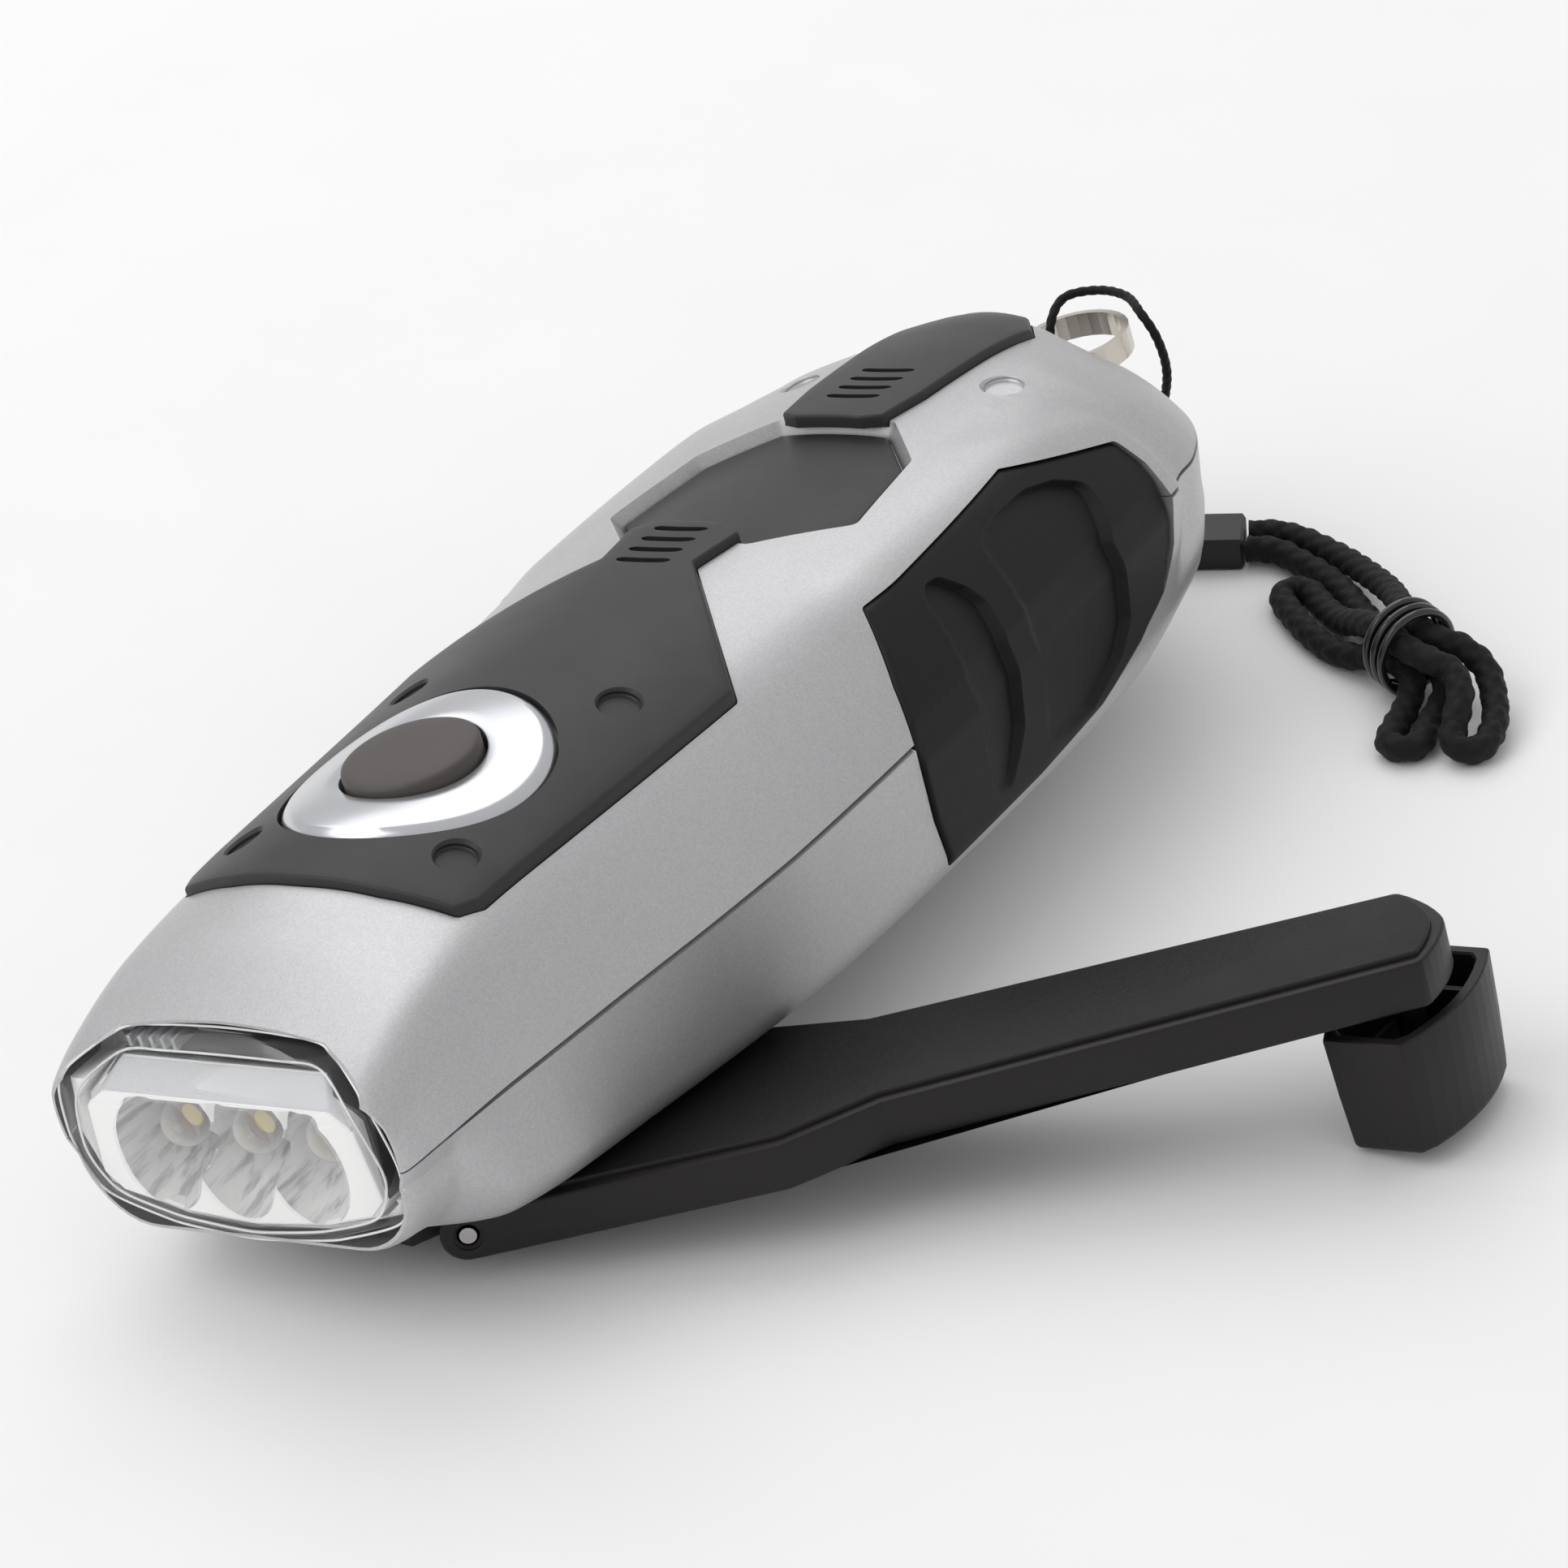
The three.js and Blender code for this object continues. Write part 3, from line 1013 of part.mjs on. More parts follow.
// Strap: each route starts at the ferrule; X and Y run from the tail's pin, Z from the floor
const CORD_ROUTE = [
  [14.4, 12.6, 1.8], [16.8, 13.8, 1.8], [19.8, 13.8, 1.8], [23.6, 12.6, 1.9], [28, 10.3, 2.4],
  [34.7, 5, 3.9], [38.7, 0, 5.6], [41.2, -3.15, 6.3], [45, -5.4, 6.4], [47.8, -4.8, 5.6],
  [50.6, -5.3, 4.2], [52.9, -8, 2.9], [54.6, -11.4, 2], [55.1, -14.9, 1.6], [54.6, -16.1, 1.6],
  [53.5, -16.6, 1.8], [52.4, -16.2, 2.2], [51.9, -14.9, 2.8], [51.5, -13.2, 3.8], [50.7, -11, 4.8],
  [49, -9.4, 5.6], [46.4, -9.2, 6.2], [43.6, -8.3, 6.3], [39.7, -5.95, 6.3], [36.4, -3.6, 5],
  [32, -0.2, 2.4], [28.3, 2.8, 1.5], [25.9, 4.7, 1.5], [24.7, 5, 1.5], [23.6, 4.4, 1.5],
  [23.3, 3.2, 1.5], [23.9, 2.1, 1.5], [26.9, -0.6, 1.5], [30, -2.9, 1.5], [33.5, -4.7, 1.5],
  [36.3, -5.4, 2], [39.7, -5.95, 3.1], [43.9, -8.25, 3.1], [44.9, -11, 1.9], [45.3, -14, 1.5],
  [45.8, -16.9, 1.5], [46.3, -18.1, 1.5], [47.5, -18.6, 1.5], [48.6, -18.1, 1.5], [49.1, -16.9, 1.5],
  [48.8, -15.2, 1.5], [48.4, -13.4, 1.5], [48.1, -10.7, 1.7], [47.4, -7.5, 2.4], [45, -5.3, 3.2],
  [41.2, -3.05, 3.2], [37.6, -1, 2.4], [33.1, 2.7, 1.6], [29.3, 6, 1.5], [25.4, 8.4, 1.5],
  [22, 9.7, 1.6], [18.6, 10.6, 1.8], [15.7, 9.8, 1.8],
];
const THREAD_ROUTE = [
  [6.8, 8.4, 1.8], [5.8, 8, 1.9], [4.6, 8.2, 3.2], [4.6, 9.2, 8], [6.5, 9.4, 16], [8.4, 7.8, 22.5],
  [8, 6.6, 27.2], [6.3, 6.8, 29.3], [3, 9.6, 29.25], [-0.8, 10.4, 28.75], [-3.8, 8.6, 28.15],
  [-4, 6, 26.6], [-3.2, 4.6, 23.1], [-1.8, 6, 17], [0, 7, 10], [2.2, 6, 4.2], [4.6, 5.4, 2],
  [6.4, 6, 1.8], [7.6, 6.6, 1.8],
];
const FERRULE_PLACE = [11.1, 9.4];
const FERRULE_TURN = 25;
const TIE_PLACE = [42.4, -5.7, 4.85];
const TIE_TURN = -30.6;
const TIE_RADIUS = 4.35;
const TIE_PITCH = 1.35;

// A round tube along a curve through the points
function tube(curve, diameter, sides, steps) {
  const frames = curve.computeFrenetFrames(steps, false);
  const rings = frames.normals.map((normal, i) => {
    const middle = curve.getPointAt(i / steps);
    return Array.from({ length: sides }, (_, side) => {
      const angle = 2 * Math.PI * side / sides;
      return middle.clone()
        .addScaledVector(normal, Math.cos(angle) * diameter / 2)
        .addScaledVector(frames.binormals[i], Math.sin(angle) * diameter / 2);
    });
  });
  return loft(rings);
}

const routed = (route) => new THREE.CatmullRomCurve3(
  route.map((point) => new THREE.Vector3(...point)), false, 'centripetal');

// The least gap between two stretches of a tube that are not neighbours along it
function leastGap(name, curve, diameter, steps) {
  const points = curve.getSpacedPoints(steps);
  const reach = Math.ceil(2.5 * diameter / (curve.getLength() / steps));
  let least = Infinity;
  points.forEach((a, i) => points.slice(i + reach).forEach((b) => {
    least = Math.min(least, a.distanceTo(b) - diameter);
  }));
  console.log(`${name}: length ${curve.getLength().toFixed(1)}, least gap ${least.toFixed(2)}`);
}

function strapCord() {
  const curve = routed(CORD_ROUTE);
  leastGap('strap cord', curve, CORD_DIAMETER, 4 * CORD_STEPS);
  return tube(curve, CORD_DIAMETER, 6, CORD_STEPS);
}

function strapThread() {
  const curve = routed(THREAD_ROUTE);
  leastGap('strap thread', curve, THREAD_DIAMETER, 4 * THREAD_STEPS);
  return tube(curve, THREAD_DIAMETER, 6, THREAD_STEPS);
}

// Turns of plastic wire round the folded cord, about their own X axis
function strapTie() {
  const turns = [];
  const count = TIE_TURNS * TIE_TURN_STEPS;
  for (let i = 0; i <= count; i += 1) {
    const angle = 2 * Math.PI * i / TIE_TURN_STEPS;
    turns.push(new THREE.Vector3((i / TIE_TURN_STEPS - TIE_TURNS / 2) * TIE_PITCH,
      TIE_RADIUS * Math.sin(angle), -TIE_RADIUS * Math.cos(angle)));
  }
  const curve = new THREE.CatmullRomCurve3(turns, false, 'centripetal');
  leastGap('strap tie', curve, TIE_DIAMETER, 4 * count);
  return tube(curve, TIE_DIAMETER, 6, count);
}

// A flat sleeve with chamfered ends, about its own X axis
function strapFerrule() {
  const section = (x, margin) => {
    const y = FERRULE_WIDTH / 2 - margin;
    const z = FERRULE_HEIGHT / 2 - margin;
    const corner = FERRULE_CHAMFER / 2;
    return [[y, z - corner], [y - corner, z], [corner - y, z], [-y, z - corner], [-y, corner - z],
      [corner - y, -z], [y - corner, -z], [y, corner - z]].map(([a, b]) => new THREE.Vector3(x, a, b));
  };
  const half = FERRULE_LENGTH / 2;
  return loft([section(-half, FERRULE_CHAMFER / 2), section(FERRULE_CHAMFER / 2 - half, 0),
    section(half - FERRULE_CHAMFER / 2, 0), section(half, FERRULE_CHAMFER / 2)]);
}

// Assembly
const part = new THREE.Group();
const body = new THREE.Group();
part.add(body);
body.add(underside);
const crank = new THREE.Group();
crank.rotation.z = rad(90 - CRANK_SWING);
underside.add(crank);
const arm = new THREE.Group();
arm.position.set(PIN_OFFSET, 0, -PIN_DEPTH);
crank.add(arm);
const knob = new THREE.Group();
knob.position.set(KNOB_REACH, 0, 0);
knob.rotation.z = -crank.rotation.z;
arm.add(knob);

function place(group, name, solid, material) {
  const mesh = new THREE.Mesh(geometryOf(solid), material);
  mesh.name = name;
  group.add(mesh);
  return mesh;
}

place(body, 'upper_shell', upperShell(), SILVER);
const lowerShellMesh = place(body, 'lower_shell', lowerShell(), SILVER);
place(body, 'front_panel', frontPanel(), GLOSS_BLACK);
place(body, 'mid_panel', midPanel(), GLOSS_BLACK);
place(body, 'rear_panel', rearPanel(), GLOSS_BLACK);
place(body, 'switch_ring', switchRing(), SILVER);
place(body, 'switch_button', switchButton(), RUBBER);
place(body, 'tact_switch', tactSwitch(), GLOSS_BLACK);
place(body, 'main_board', mainBoard(), BOARD);
place(body, 'left_grip', grip(-1), RUBBER);
place(body, 'right_grip', grip(1), RUBBER);
place(body, 'lens_cover', lensCover(), CLEAR);
place(body, 'reflector', reflector(), MIRROR);
place(body, 'led_board', ledBoard(), BOARD);
for (let i = 0; i < LED_COUNT; i += 1) {
  place(body, `led_${i + 1}`, led(i), CLEAR);
}
for (let i = 0; i < CELL_COUNT; i += 1) {
  place(body, `battery_cell_${i + 1}`, cell(i), CELL);
}
place(body, 'battery_holder', batteryHolder(), WHITE);
shellScrewPlaces.forEach((where, i) => place(body, `shell_screw_${i + 1}`, shellScrew(where), STEEL));
place(underside, 'gear_plate', gearPlate(), SATIN_BLACK);
platePosts.forEach((where, i) => place(underside, `plate_screw_${i + 1}`, plateScrew(where), STEEL));
place(underside, 'idler_axle_1', idlerAxle(idler1Place), STEEL);
place(underside, 'idler_axle_2', idlerAxle(idler2Place), STEEL);
place(underside, 'idler_gear_1', idler(idler1Place, IDLER_1_ANGLE, IDLER_2_ANGLE, 0), NYLON);
place(underside, 'idler_gear_2', idler(idler2Place, IDLER_2_ANGLE, ROTOR_ANGLE, 1), NYLON);
place(underside, 'rotor_pinion', rotorShaft(), BRASS);
place(underside, 'rotor_magnet', rotorMagnet(), MAGNET);
place(underside, 'stator_core', statorCore(), STEEL);
place(underside, 'stator_coil', statorCoil(), COPPER);
place(underside, 'crank_gear', crankGear(), NYLON);
const hubMesh = place(crank, 'crank_hub', crankHub(), SATIN_BLACK);
place(crank, 'hub_washer', hubWasher(), STEEL);
place(crank, 'hub_screw', hubScrew(), STEEL);
place(crank, 'hinge_pin', hingePin(), STEEL);
const armMesh = place(arm, 'crank_arm', crankArm(), SATIN_BLACK);
const knobMesh = place(knob, 'crank_knob', crankKnob(), SATIN_BLACK);
place(arm, 'knob_screw', knobScrew(), STEEL).position.x = KNOB_REACH;
place(body, 'strap_pin', strapPin(), STEEL);
place(body, 'strap_ring', strapRing(), STEEL);

// The object rests on three points: under the knob, under the crank's root and under the tail.
// The plane through the lowest corner of each is found by trial, from a level start.
function cornersOf(meshes) {
  body.updateMatrixWorld(true);
  return meshes.flatMap((mesh) => {
    const position = mesh.geometry.attributes.position;
    return Array.from({ length: position.count }, (_, i) =>
      new THREE.Vector3().fromBufferAttribute(position, i).applyMatrix4(mesh.matrixWorld));
  });
}

function restingPlane() {
  const supports = [cornersOf([hubMesh, armMesh]).filter((corner) => corner.x < ARM_WIDE),
    cornersOf([knobMesh]), cornersOf([lowerShellMesh])];
  const up = new THREE.Vector3(0.19, 0.03, 0.98).normalize();
  const feet = [];
  for (let round = 0; round < 12; round += 1) {
    supports.forEach((corners, i) => {
      feet[i] = corners.reduce((low, corner) => (corner.dot(up) < low.dot(up) ? corner : low));
    });
    up.crossVectors(feet[1].clone().sub(feet[0]), feet[2].clone().sub(feet[0])).normalize();
    if (up.z < 0) up.negate();
  }
  return { up, feet };
}

const { up, feet } = restingPlane();
console.log('resting plane', up.toArray().map((v) => v.toFixed(4)).join(' '),
  feet.map((foot) => foot.toArray().map((v) => v.toFixed(1)).join(',')).join(' | '));
body.quaternion.setFromUnitVectors(up, new THREE.Vector3(0, 0, 1));
part.updateMatrixWorld(true);
const bounds = new THREE.Box3().setFromObject(part, true);
body.position.set(-(bounds.min.x + bounds.max.x) / 2, -(bounds.min.y + bounds.max.y) / 2,
  -bounds.min.z);
part.updateMatrixWorld(true);

// The strap lies on the floor behind the tail
const strap = new THREE.Group();
strap.position.set(RING_X, lugPinY, RING_Z).applyMatrix4(body.matrixWorld).setZ(0);
part.add(strap);
const ferrule = new THREE.Group();
ferrule.position.set(...FERRULE_PLACE, FERRULE_HEIGHT / 2);
ferrule.rotation.z = rad(FERRULE_TURN);
strap.add(ferrule);
const tie = new THREE.Group();
tie.position.set(...TIE_PLACE);
tie.rotation.z = rad(TIE_TURN);
strap.add(tie);
place(strap, 'strap_thread', strapThread(), CORD);
place(ferrule, 'strap_ferrule', strapFerrule(), GLOSS_BLACK);
place(strap, 'strap_cord', strapCord(), CORD);
place(tie, 'strap_tie', strapTie(), GLOSS_BLACK);
part.updateMatrixWorld(true);

export default part;
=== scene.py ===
"""Looks of the hand crank flashlight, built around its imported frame. Lengths here are in millimetres."""

import json
import math

import bmesh
import bpy
import numpy as np
from mathutils import Matrix, Vector
from mathutils.geometry import delaunay_2d_cdt


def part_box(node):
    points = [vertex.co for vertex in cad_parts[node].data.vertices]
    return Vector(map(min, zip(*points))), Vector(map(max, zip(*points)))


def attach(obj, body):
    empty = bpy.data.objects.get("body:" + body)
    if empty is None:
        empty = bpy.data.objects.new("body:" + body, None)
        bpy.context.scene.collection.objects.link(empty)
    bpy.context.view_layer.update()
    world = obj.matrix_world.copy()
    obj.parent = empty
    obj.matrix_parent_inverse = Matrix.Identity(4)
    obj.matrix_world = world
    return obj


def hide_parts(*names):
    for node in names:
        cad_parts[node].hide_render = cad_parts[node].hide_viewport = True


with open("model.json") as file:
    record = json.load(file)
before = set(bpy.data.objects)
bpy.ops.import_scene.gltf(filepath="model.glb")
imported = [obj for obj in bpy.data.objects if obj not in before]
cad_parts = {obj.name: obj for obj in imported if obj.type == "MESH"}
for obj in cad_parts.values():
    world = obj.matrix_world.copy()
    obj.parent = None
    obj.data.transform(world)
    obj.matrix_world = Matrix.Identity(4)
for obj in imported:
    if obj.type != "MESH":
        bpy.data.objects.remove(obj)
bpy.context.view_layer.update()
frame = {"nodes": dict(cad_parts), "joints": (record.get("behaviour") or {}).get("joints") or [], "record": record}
MM = 0.001
PI = math.pi

# Sizes shared with the solids
BODY_LENGTH = 146
BODY_WIDTH = 58
DECK_WIDTH = 40
DECK_SPAN = 16
TAIL_Y = 108
PARTING_Z = -16
UNDERSIDE_DEPTH = 13.7
BELLY_CORNER = 3.4
UNDERSIDE_TILT = math.radians(2.3)
SHELL_WALL = 2.2
HUB_Y = -8
CRANK_TURN = math.radians(36)
PIN_OFFSET = 6
PIN_DEPTH = 3.1
KNOB_REACH = 86.2
SWITCH_Y = 11.4

# Each row: place along the body, half width, half deck, crown, deck edge, belly depth, belly corner
STATION_SHARES = np.array([
    [-0.189, 0.600, 0.810, -0.512, -0.650, 0.57, 2.9],
    [-0.178, 0.672, 0.900, -0.406, -0.563, 0.69, 2.9],
    [-0.151, 0.693, 0.900, -0.306, -0.438, 0.76, 2.8],
    [-0.089, 0.728, 0.900, -0.094, -0.294, 0.98, 1.3],
    [-0.041, 0.766, 0.900, 0.019, -0.263, 1, 1.05],
    [0.014, 0.810, 0.900, 0.063, -0.250, 1, 1],
    [0.116, 0.897, 0.900, 0.063, -0.250, 1, 1],
    [0.192, 0.945, 0.905, 0.056, -0.250, 1, 1],
    [0.315, 0.976, 0.940, 0.025, -0.256, 1, 1.2],
    [0.411, 0.986, 1.000, -0.013, -0.275, 1, 1.35],
    [0.493, 0.993, 1.010, -0.063, -0.294, 1, 1.6],
    [0.575, 0.997, 1.000, -0.119, -0.319, 1, 2.05],
    [0.685, 0.966, 0.910, -0.213, -0.406, 0.89, 2.8],
    [0.719, 0.910, 0.810, -0.256, -0.463, 0.79, 2.8],
    [0.747, 0.821, 0.690, -0.300, -0.531, 0.69, 2.65],
    [0.771, 0.703, 0.560, -0.363, -0.600, 0.58, 2.35],
    [0.791, 0.545, 0.420, -0.475, -0.688, 0.45, 1.75],
    [0.807, 0.372, 0.280, -0.625, -0.800, 0.31, 1.2],
    [0.8165, 0.200, 0.150, -0.788, -0.900, 0.18, 1],
    [0.8195, 0.083, 0.060, -0.900, -0.950, 0.08, 1],
])

# Frames of the body, the underside, the crank, the arm and the knob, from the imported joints
joints = {joint["name"]: joint for joint in frame["joints"]}
under_up = Vector(joints["crank_spin"]["axis"]).normalized()
body_up = -Vector(joints["button_press"]["axis"]).normalized()
body_across = under_up.cross(body_up).normalized()


def place(x=0, y=0, z=0):
    return Matrix.Translation((x, y, z))


def frame_of(origin, across, along, up):
    matrix = Matrix((across * MM, along * MM, up * MM)).transposed().to_4x4()
    matrix.translation = origin
    return matrix


UNDER = frame_of(Vector(joints["crank_spin"]["pos_m"]), body_across, under_up.cross(body_across), under_up)
TILT = Matrix.Rotation(-UNDERSIDE_TILT, 4, "X")
BODY = UNDER @ TILT.inverted() @ place(0, -HUB_Y, UNDERSIDE_DEPTH - PARTING_Z)
CRANK = UNDER @ Matrix.Rotation(CRANK_TURN, 4, "Z")
ARM = CRANK @ place(PIN_OFFSET, 0, -PIN_DEPTH)
KNOB = ARM @ place(KNOB_REACH) @ Matrix.Rotation(-CRANK_TURN, 4, "Z")
pin_low, pin_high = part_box("strap_pin")
strap_foot = (pin_low + pin_high) / 2
STRAP = Matrix.Translation((strap_foot.x, strap_foot.y, 0)) @ Matrix.Scale(MM, 4)

scene = bpy.context.scene
scene.view_settings.view_transform = "Standard"

# Camera: its place in the body's frame, and the photograph's view
CAMERA_AXES = Matrix(((0.8134, 0.5172, -0.2661), (-0.0448, 0.5118, 0.8579), (0.5800, -0.6859, 0.4395)))
CAMERA_SHIFT = Vector((-38.9095, -5.26195, 541.720))
FOCAL_SHARE = 7501.4 / 1932


def make_camera():
    data = bpy.data.cameras.new("camera")
    data.sensor_width = 36
    data.lens = FOCAL_SHARE * data.sensor_width
    data.clip_start, data.clip_end = 0.02, 20
    camera = bpy.data.objects.new("camera", data)
    scene.collection.objects.link(camera)
    eye = CAMERA_AXES.transposed() @ Vector((-CAMERA_SHIFT.x, -CAMERA_SHIFT.y, CAMERA_SHIFT.z))
    turn = BODY.to_3x3().normalized() @ CAMERA_AXES.transposed()
    camera.matrix_world = Matrix.Translation(BODY @ eye) @ turn.to_4x4()
    scene.camera = camera


make_camera()


# Helpers for meshes
def mesh_object(name, vertices, faces):
    mesh = bpy.data.meshes.new(name)
    mesh.from_pydata([tuple(map(float, v)) for v in vertices], [], [tuple(f) for f in faces])
    mesh.update()
    obj = bpy.data.objects.new(name, mesh)
    scene.collection.objects.link(obj)
    return obj


def shade(obj, angle=32):
    mesh = obj.data
    mesh.shade_smooth()
    mesh.set_sharp_from_angle(angle=math.radians(angle))
    return obj


def dress(obj, matrix, body, slot, materials, *nodes):
    """Puts a piece made in millimetres into the row frame, on its body, in place of its solids."""
    obj.data.transform(matrix)
    obj.data.materials.clear()
    for material in materials:
        obj.data.materials.append(material)
    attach(obj, body)
    if nodes:
        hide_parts(*nodes)
    return obj


def dress_faces(obj, matrix, body, slot, materials, pick, *nodes):
    """Dresses a piece whose faces pick a material by their middle and normal, in millimetres."""
    dress(obj, Matrix.Identity(4), body, slot, materials, *nodes)
    for side in obj.data.polygons:
        side.material_index = pick(side.center, side.normal)
    obj.data.transform(matrix)


def grid_faces(rows, columns):
    faces = []
    for i in range(rows - 1):
        for j in range(columns):
            k = (j + 1) % columns
            faces.append((i * columns + j, i * columns + k, (i + 1) * columns + k, (i + 1) * columns + j))
    return faces


def closed_mesh(name, vertices, faces):
    """A mesh whose faces all look outward."""
    obj = mesh_object(name, vertices, faces)
    bm = bmesh.new()
    bm.from_mesh(obj.data)
    bmesh.ops.recalc_face_normals(bm, faces=bm.faces)
    bm.to_mesh(obj.data)
    bm.free()
    return obj


def loft(name, rings):
    """A closed solid through rings of equal length."""
    rings = np.asarray(rings, float)
    rows, columns = rings.shape[:2]
    faces = grid_faces(rows, columns)
    faces.append(tuple(range(columns))[::-1])
    faces.append(tuple((rows - 1) * columns + j for j in range(columns)))
    return closed_mesh(name, rings.reshape(-1, 3), faces)


# Curves
def way_along(points):
    """Length of the line from its start to each of its points."""
    return np.concatenate([[0], np.cumsum(np.linalg.norm(np.diff(points, axis=0), axis=1))])


def routed(route, step):
    """Evenly spaced points, about a step apart, on a centripetal curve through the route."""
    p = np.array(route, float)
    p = np.vstack([2 * p[0] - p[1], p, 2 * p[-1] - p[-2]])
    fine = []
    for p0, p1, p2, p3 in zip(p, p[1:], p[2:], p[3:]):
        d0, d1, d2 = (np.linalg.norm(b - a) ** 0.5 for a, b in ((p0, p1), (p1, p2), (p2, p3)))
        t1 = ((p1 - p0) / d0 - (p2 - p0) / (d0 + d1) + (p2 - p1) / d1) * d1
        t2 = ((p2 - p1) / d1 - (p3 - p1) / (d1 + d2) + (p3 - p2) / d2) * d1
        t = np.linspace(0, 1, 40, endpoint=False)[:, None]
        fine.append(p1 * (2 * t**3 - 3 * t**2 + 1) + t1 * (t**3 - 2 * t**2 + t)
                    + p2 * (3 * t**2 - 2 * t**3) + t2 * (t**3 - t**2))
    fine = np.vstack(fine + [p[-2:-1]])
    along = way_along(fine)
    count = max(4, round(along[-1] / step)) + 1
    spaced = np.linspace(0, along[-1], count)
    return np.column_stack([np.interp(spaced, along, fine[:, k]) for k in range(3)]), along[-1]


def carried_frames(points):
    """Tangents, and two normals that turn as little as they can."""
    tangents = np.gradient(points, axis=0)
    tangents /= np.linalg.norm(tangents, axis=1)[:, None]
    normal = np.cross(tangents[0], (0, 0, 1))
    if np.linalg.norm(normal) < 0.1:
        normal = np.cross(tangents[0], (0, 1, 0))
    normals = []
    for tangent in tangents:
        normal = normal - tangent * normal.dot(tangent)
        normal /= np.linalg.norm(normal)
        normals.append(normal)
    normals = np.array(normals)
    return tangents, normals, np.cross(tangents, normals)


def tube(name, points, sides, radius):
    """A tube along points, where radius(turn, way) gives its size at each angle and length."""
    _, first, second = carried_frames(points)
    way = way_along(points)
    turn = np.arange(sides) / sides * 2 * PI
    size = radius(turn[None, :], way[:, None]) * np.ones((len(points), sides))
    sideways = np.cos(turn)[None, :, None] * first[:, None, :]
    upright = np.sin(turn)[None, :, None] * second[:, None, :]
    return loft(name, points[:, None, :] + size[..., None] * (sideways + upright))


# Cuts and unions of closed meshes
def cut(obj, *tools, operation="DIFFERENCE"):
    for tool in tools:
        modifier = obj.modifiers.new("cut", "BOOLEAN")
        modifier.operation = operation
        modifier.solver = "MANIFOLD"
        modifier.object = tool
        tool.hide_render = True
    graph = bpy.context.evaluated_depsgraph_get()
    mesh = bpy.data.meshes.new_from_object(obj.evaluated_get(graph))
    obj.modifiers.clear()
    obj.data = mesh
    drop(*[tool for tool in tools if not tool.get("keep")])
    return obj


def meet(obj, *tools):
    return cut(obj, *tools, operation="INTERSECT")


def join(obj, *tools):
    return cut(obj, *tools, operation="UNION")


def kept(obj):
    """A tool that several cuts use."""
    obj["keep"] = True
    obj.hide_render = True
    return obj


def drop(*tools):
    for tool in tools:
        bpy.data.objects.remove(tool)


def copy_of(obj):
    twin = bpy.data.objects.new(obj.name, obj.data.copy())
    scene.collection.objects.link(twin)
    return twin


def moved(obj, matrix):
    obj.data.transform(matrix)
    if matrix.determinant() < 0:
        obj.data.flip_normals()
    return obj


# Outlines
def mirrored(half):
    """A full outline, counterclockwise, from its right half that runs from the front to the rear."""
    return [(x, y) for x, y in half] + [(-x, y) for x, y in reversed(half) if x > 0]


def rounded(outline, radius, steps=5):
    """Corners become arcs; radius is one number or one for each corner."""
    points = np.array(outline, float)
    radii = radius if np.ndim(radius) else [radius] * len(points)
    out = []
    for before, corner, after, size in zip(np.roll(points, 1, 0), points, np.roll(points, -1, 0), radii):
        one, two = before - corner, after - corner
        lengths = np.linalg.norm(one), np.linalg.norm(two)
        one, two = one / lengths[0], two / lengths[1]
        angle = math.acos(np.clip(one.dot(two), -1, 1))
        reach = min(size / max(math.tan(angle / 2), 1e-3), 0.45 * min(lengths))
        start, end = corner + one * reach, corner + two * reach
        for t in np.linspace(0, 1, steps):
            out.append((1 - t) ** 2 * start + 2 * t * (1 - t) * corner + t * t * end)
    return np.array(out)


def dense(outline, spacing):
    """Adds points on the long sides of a closed outline."""
    out = []
    for a, b in zip(outline, np.roll(outline, -1, 0)):
        count = max(1, math.ceil(np.linalg.norm(b - a) / spacing))
        out.extend(a + (b - a) * k / count for k in range(count))
    return np.array(out)


def inset(outline, distance):
    """Moves a counterclockwise outline inward; a negative distance moves it outward."""
    points = np.asarray(outline, float)
    ahead = np.roll(points, -1, 0) - points
    ahead /= np.linalg.norm(ahead, axis=1)[:, None]
    behind = np.roll(ahead, 1, 0)
    normals = np.column_stack([-ahead[:, 1] - behind[:, 1], ahead[:, 0] + behind[:, 0]])
    normals /= np.linalg.norm(normals, axis=1)[:, None]
    share = np.maximum(0.5, normals[:, 0] * -ahead[:, 1] + normals[:, 1] * ahead[:, 0])
    return points + normals * (distance / share)[:, None]


def counterclockwise(outline):
    points = np.asarray(outline, float)
    x, y = points[:, 0], points[:, 1]
    area = (x * np.roll(y, -1) - np.roll(x, -1) * y).sum()
    return points if area > 0 else points[::-1]


def soft_outline(outline, radius, steps=4):
    return rounded(counterclockwise(outline), radius, steps)


def inside_distance(points, outline):
    """Signed distance to a closed outline, positive inside."""
    points = np.asarray(points, float)
    a = np.asarray(outline, float)
    b = np.roll(a, -1, 0)
    span = b - a
    away = points[:, None, :] - a[None]
    t = np.clip((away * span).sum(2) / (span * span).sum(1), 0, 1)
    distance = np.linalg.norm(away - t[..., None] * span, axis=2).min(1)
    x, y = points[:, 0:1], points[:, 1:2]
    rise = np.where(b[:, 1] == a[:, 1], 1e-9, b[:, 1] - a[:, 1])
    meets = (b[:, 0] - a[:, 0]) * (y - a[:, 1]) / rise + a[:, 0]
    crossing = ((a[:, 1] > y) != (b[:, 1] > y)) & (x < meets)
    return np.where(crossing.sum(1) % 2 == 1, distance, -distance)


# Solids
def prism(name, outline, z0, z1):
    outline = counterclockwise(outline)
    return loft(name, [[(x, y, z0) for x, y in outline], [(x, y, z1) for x, y in outline]])


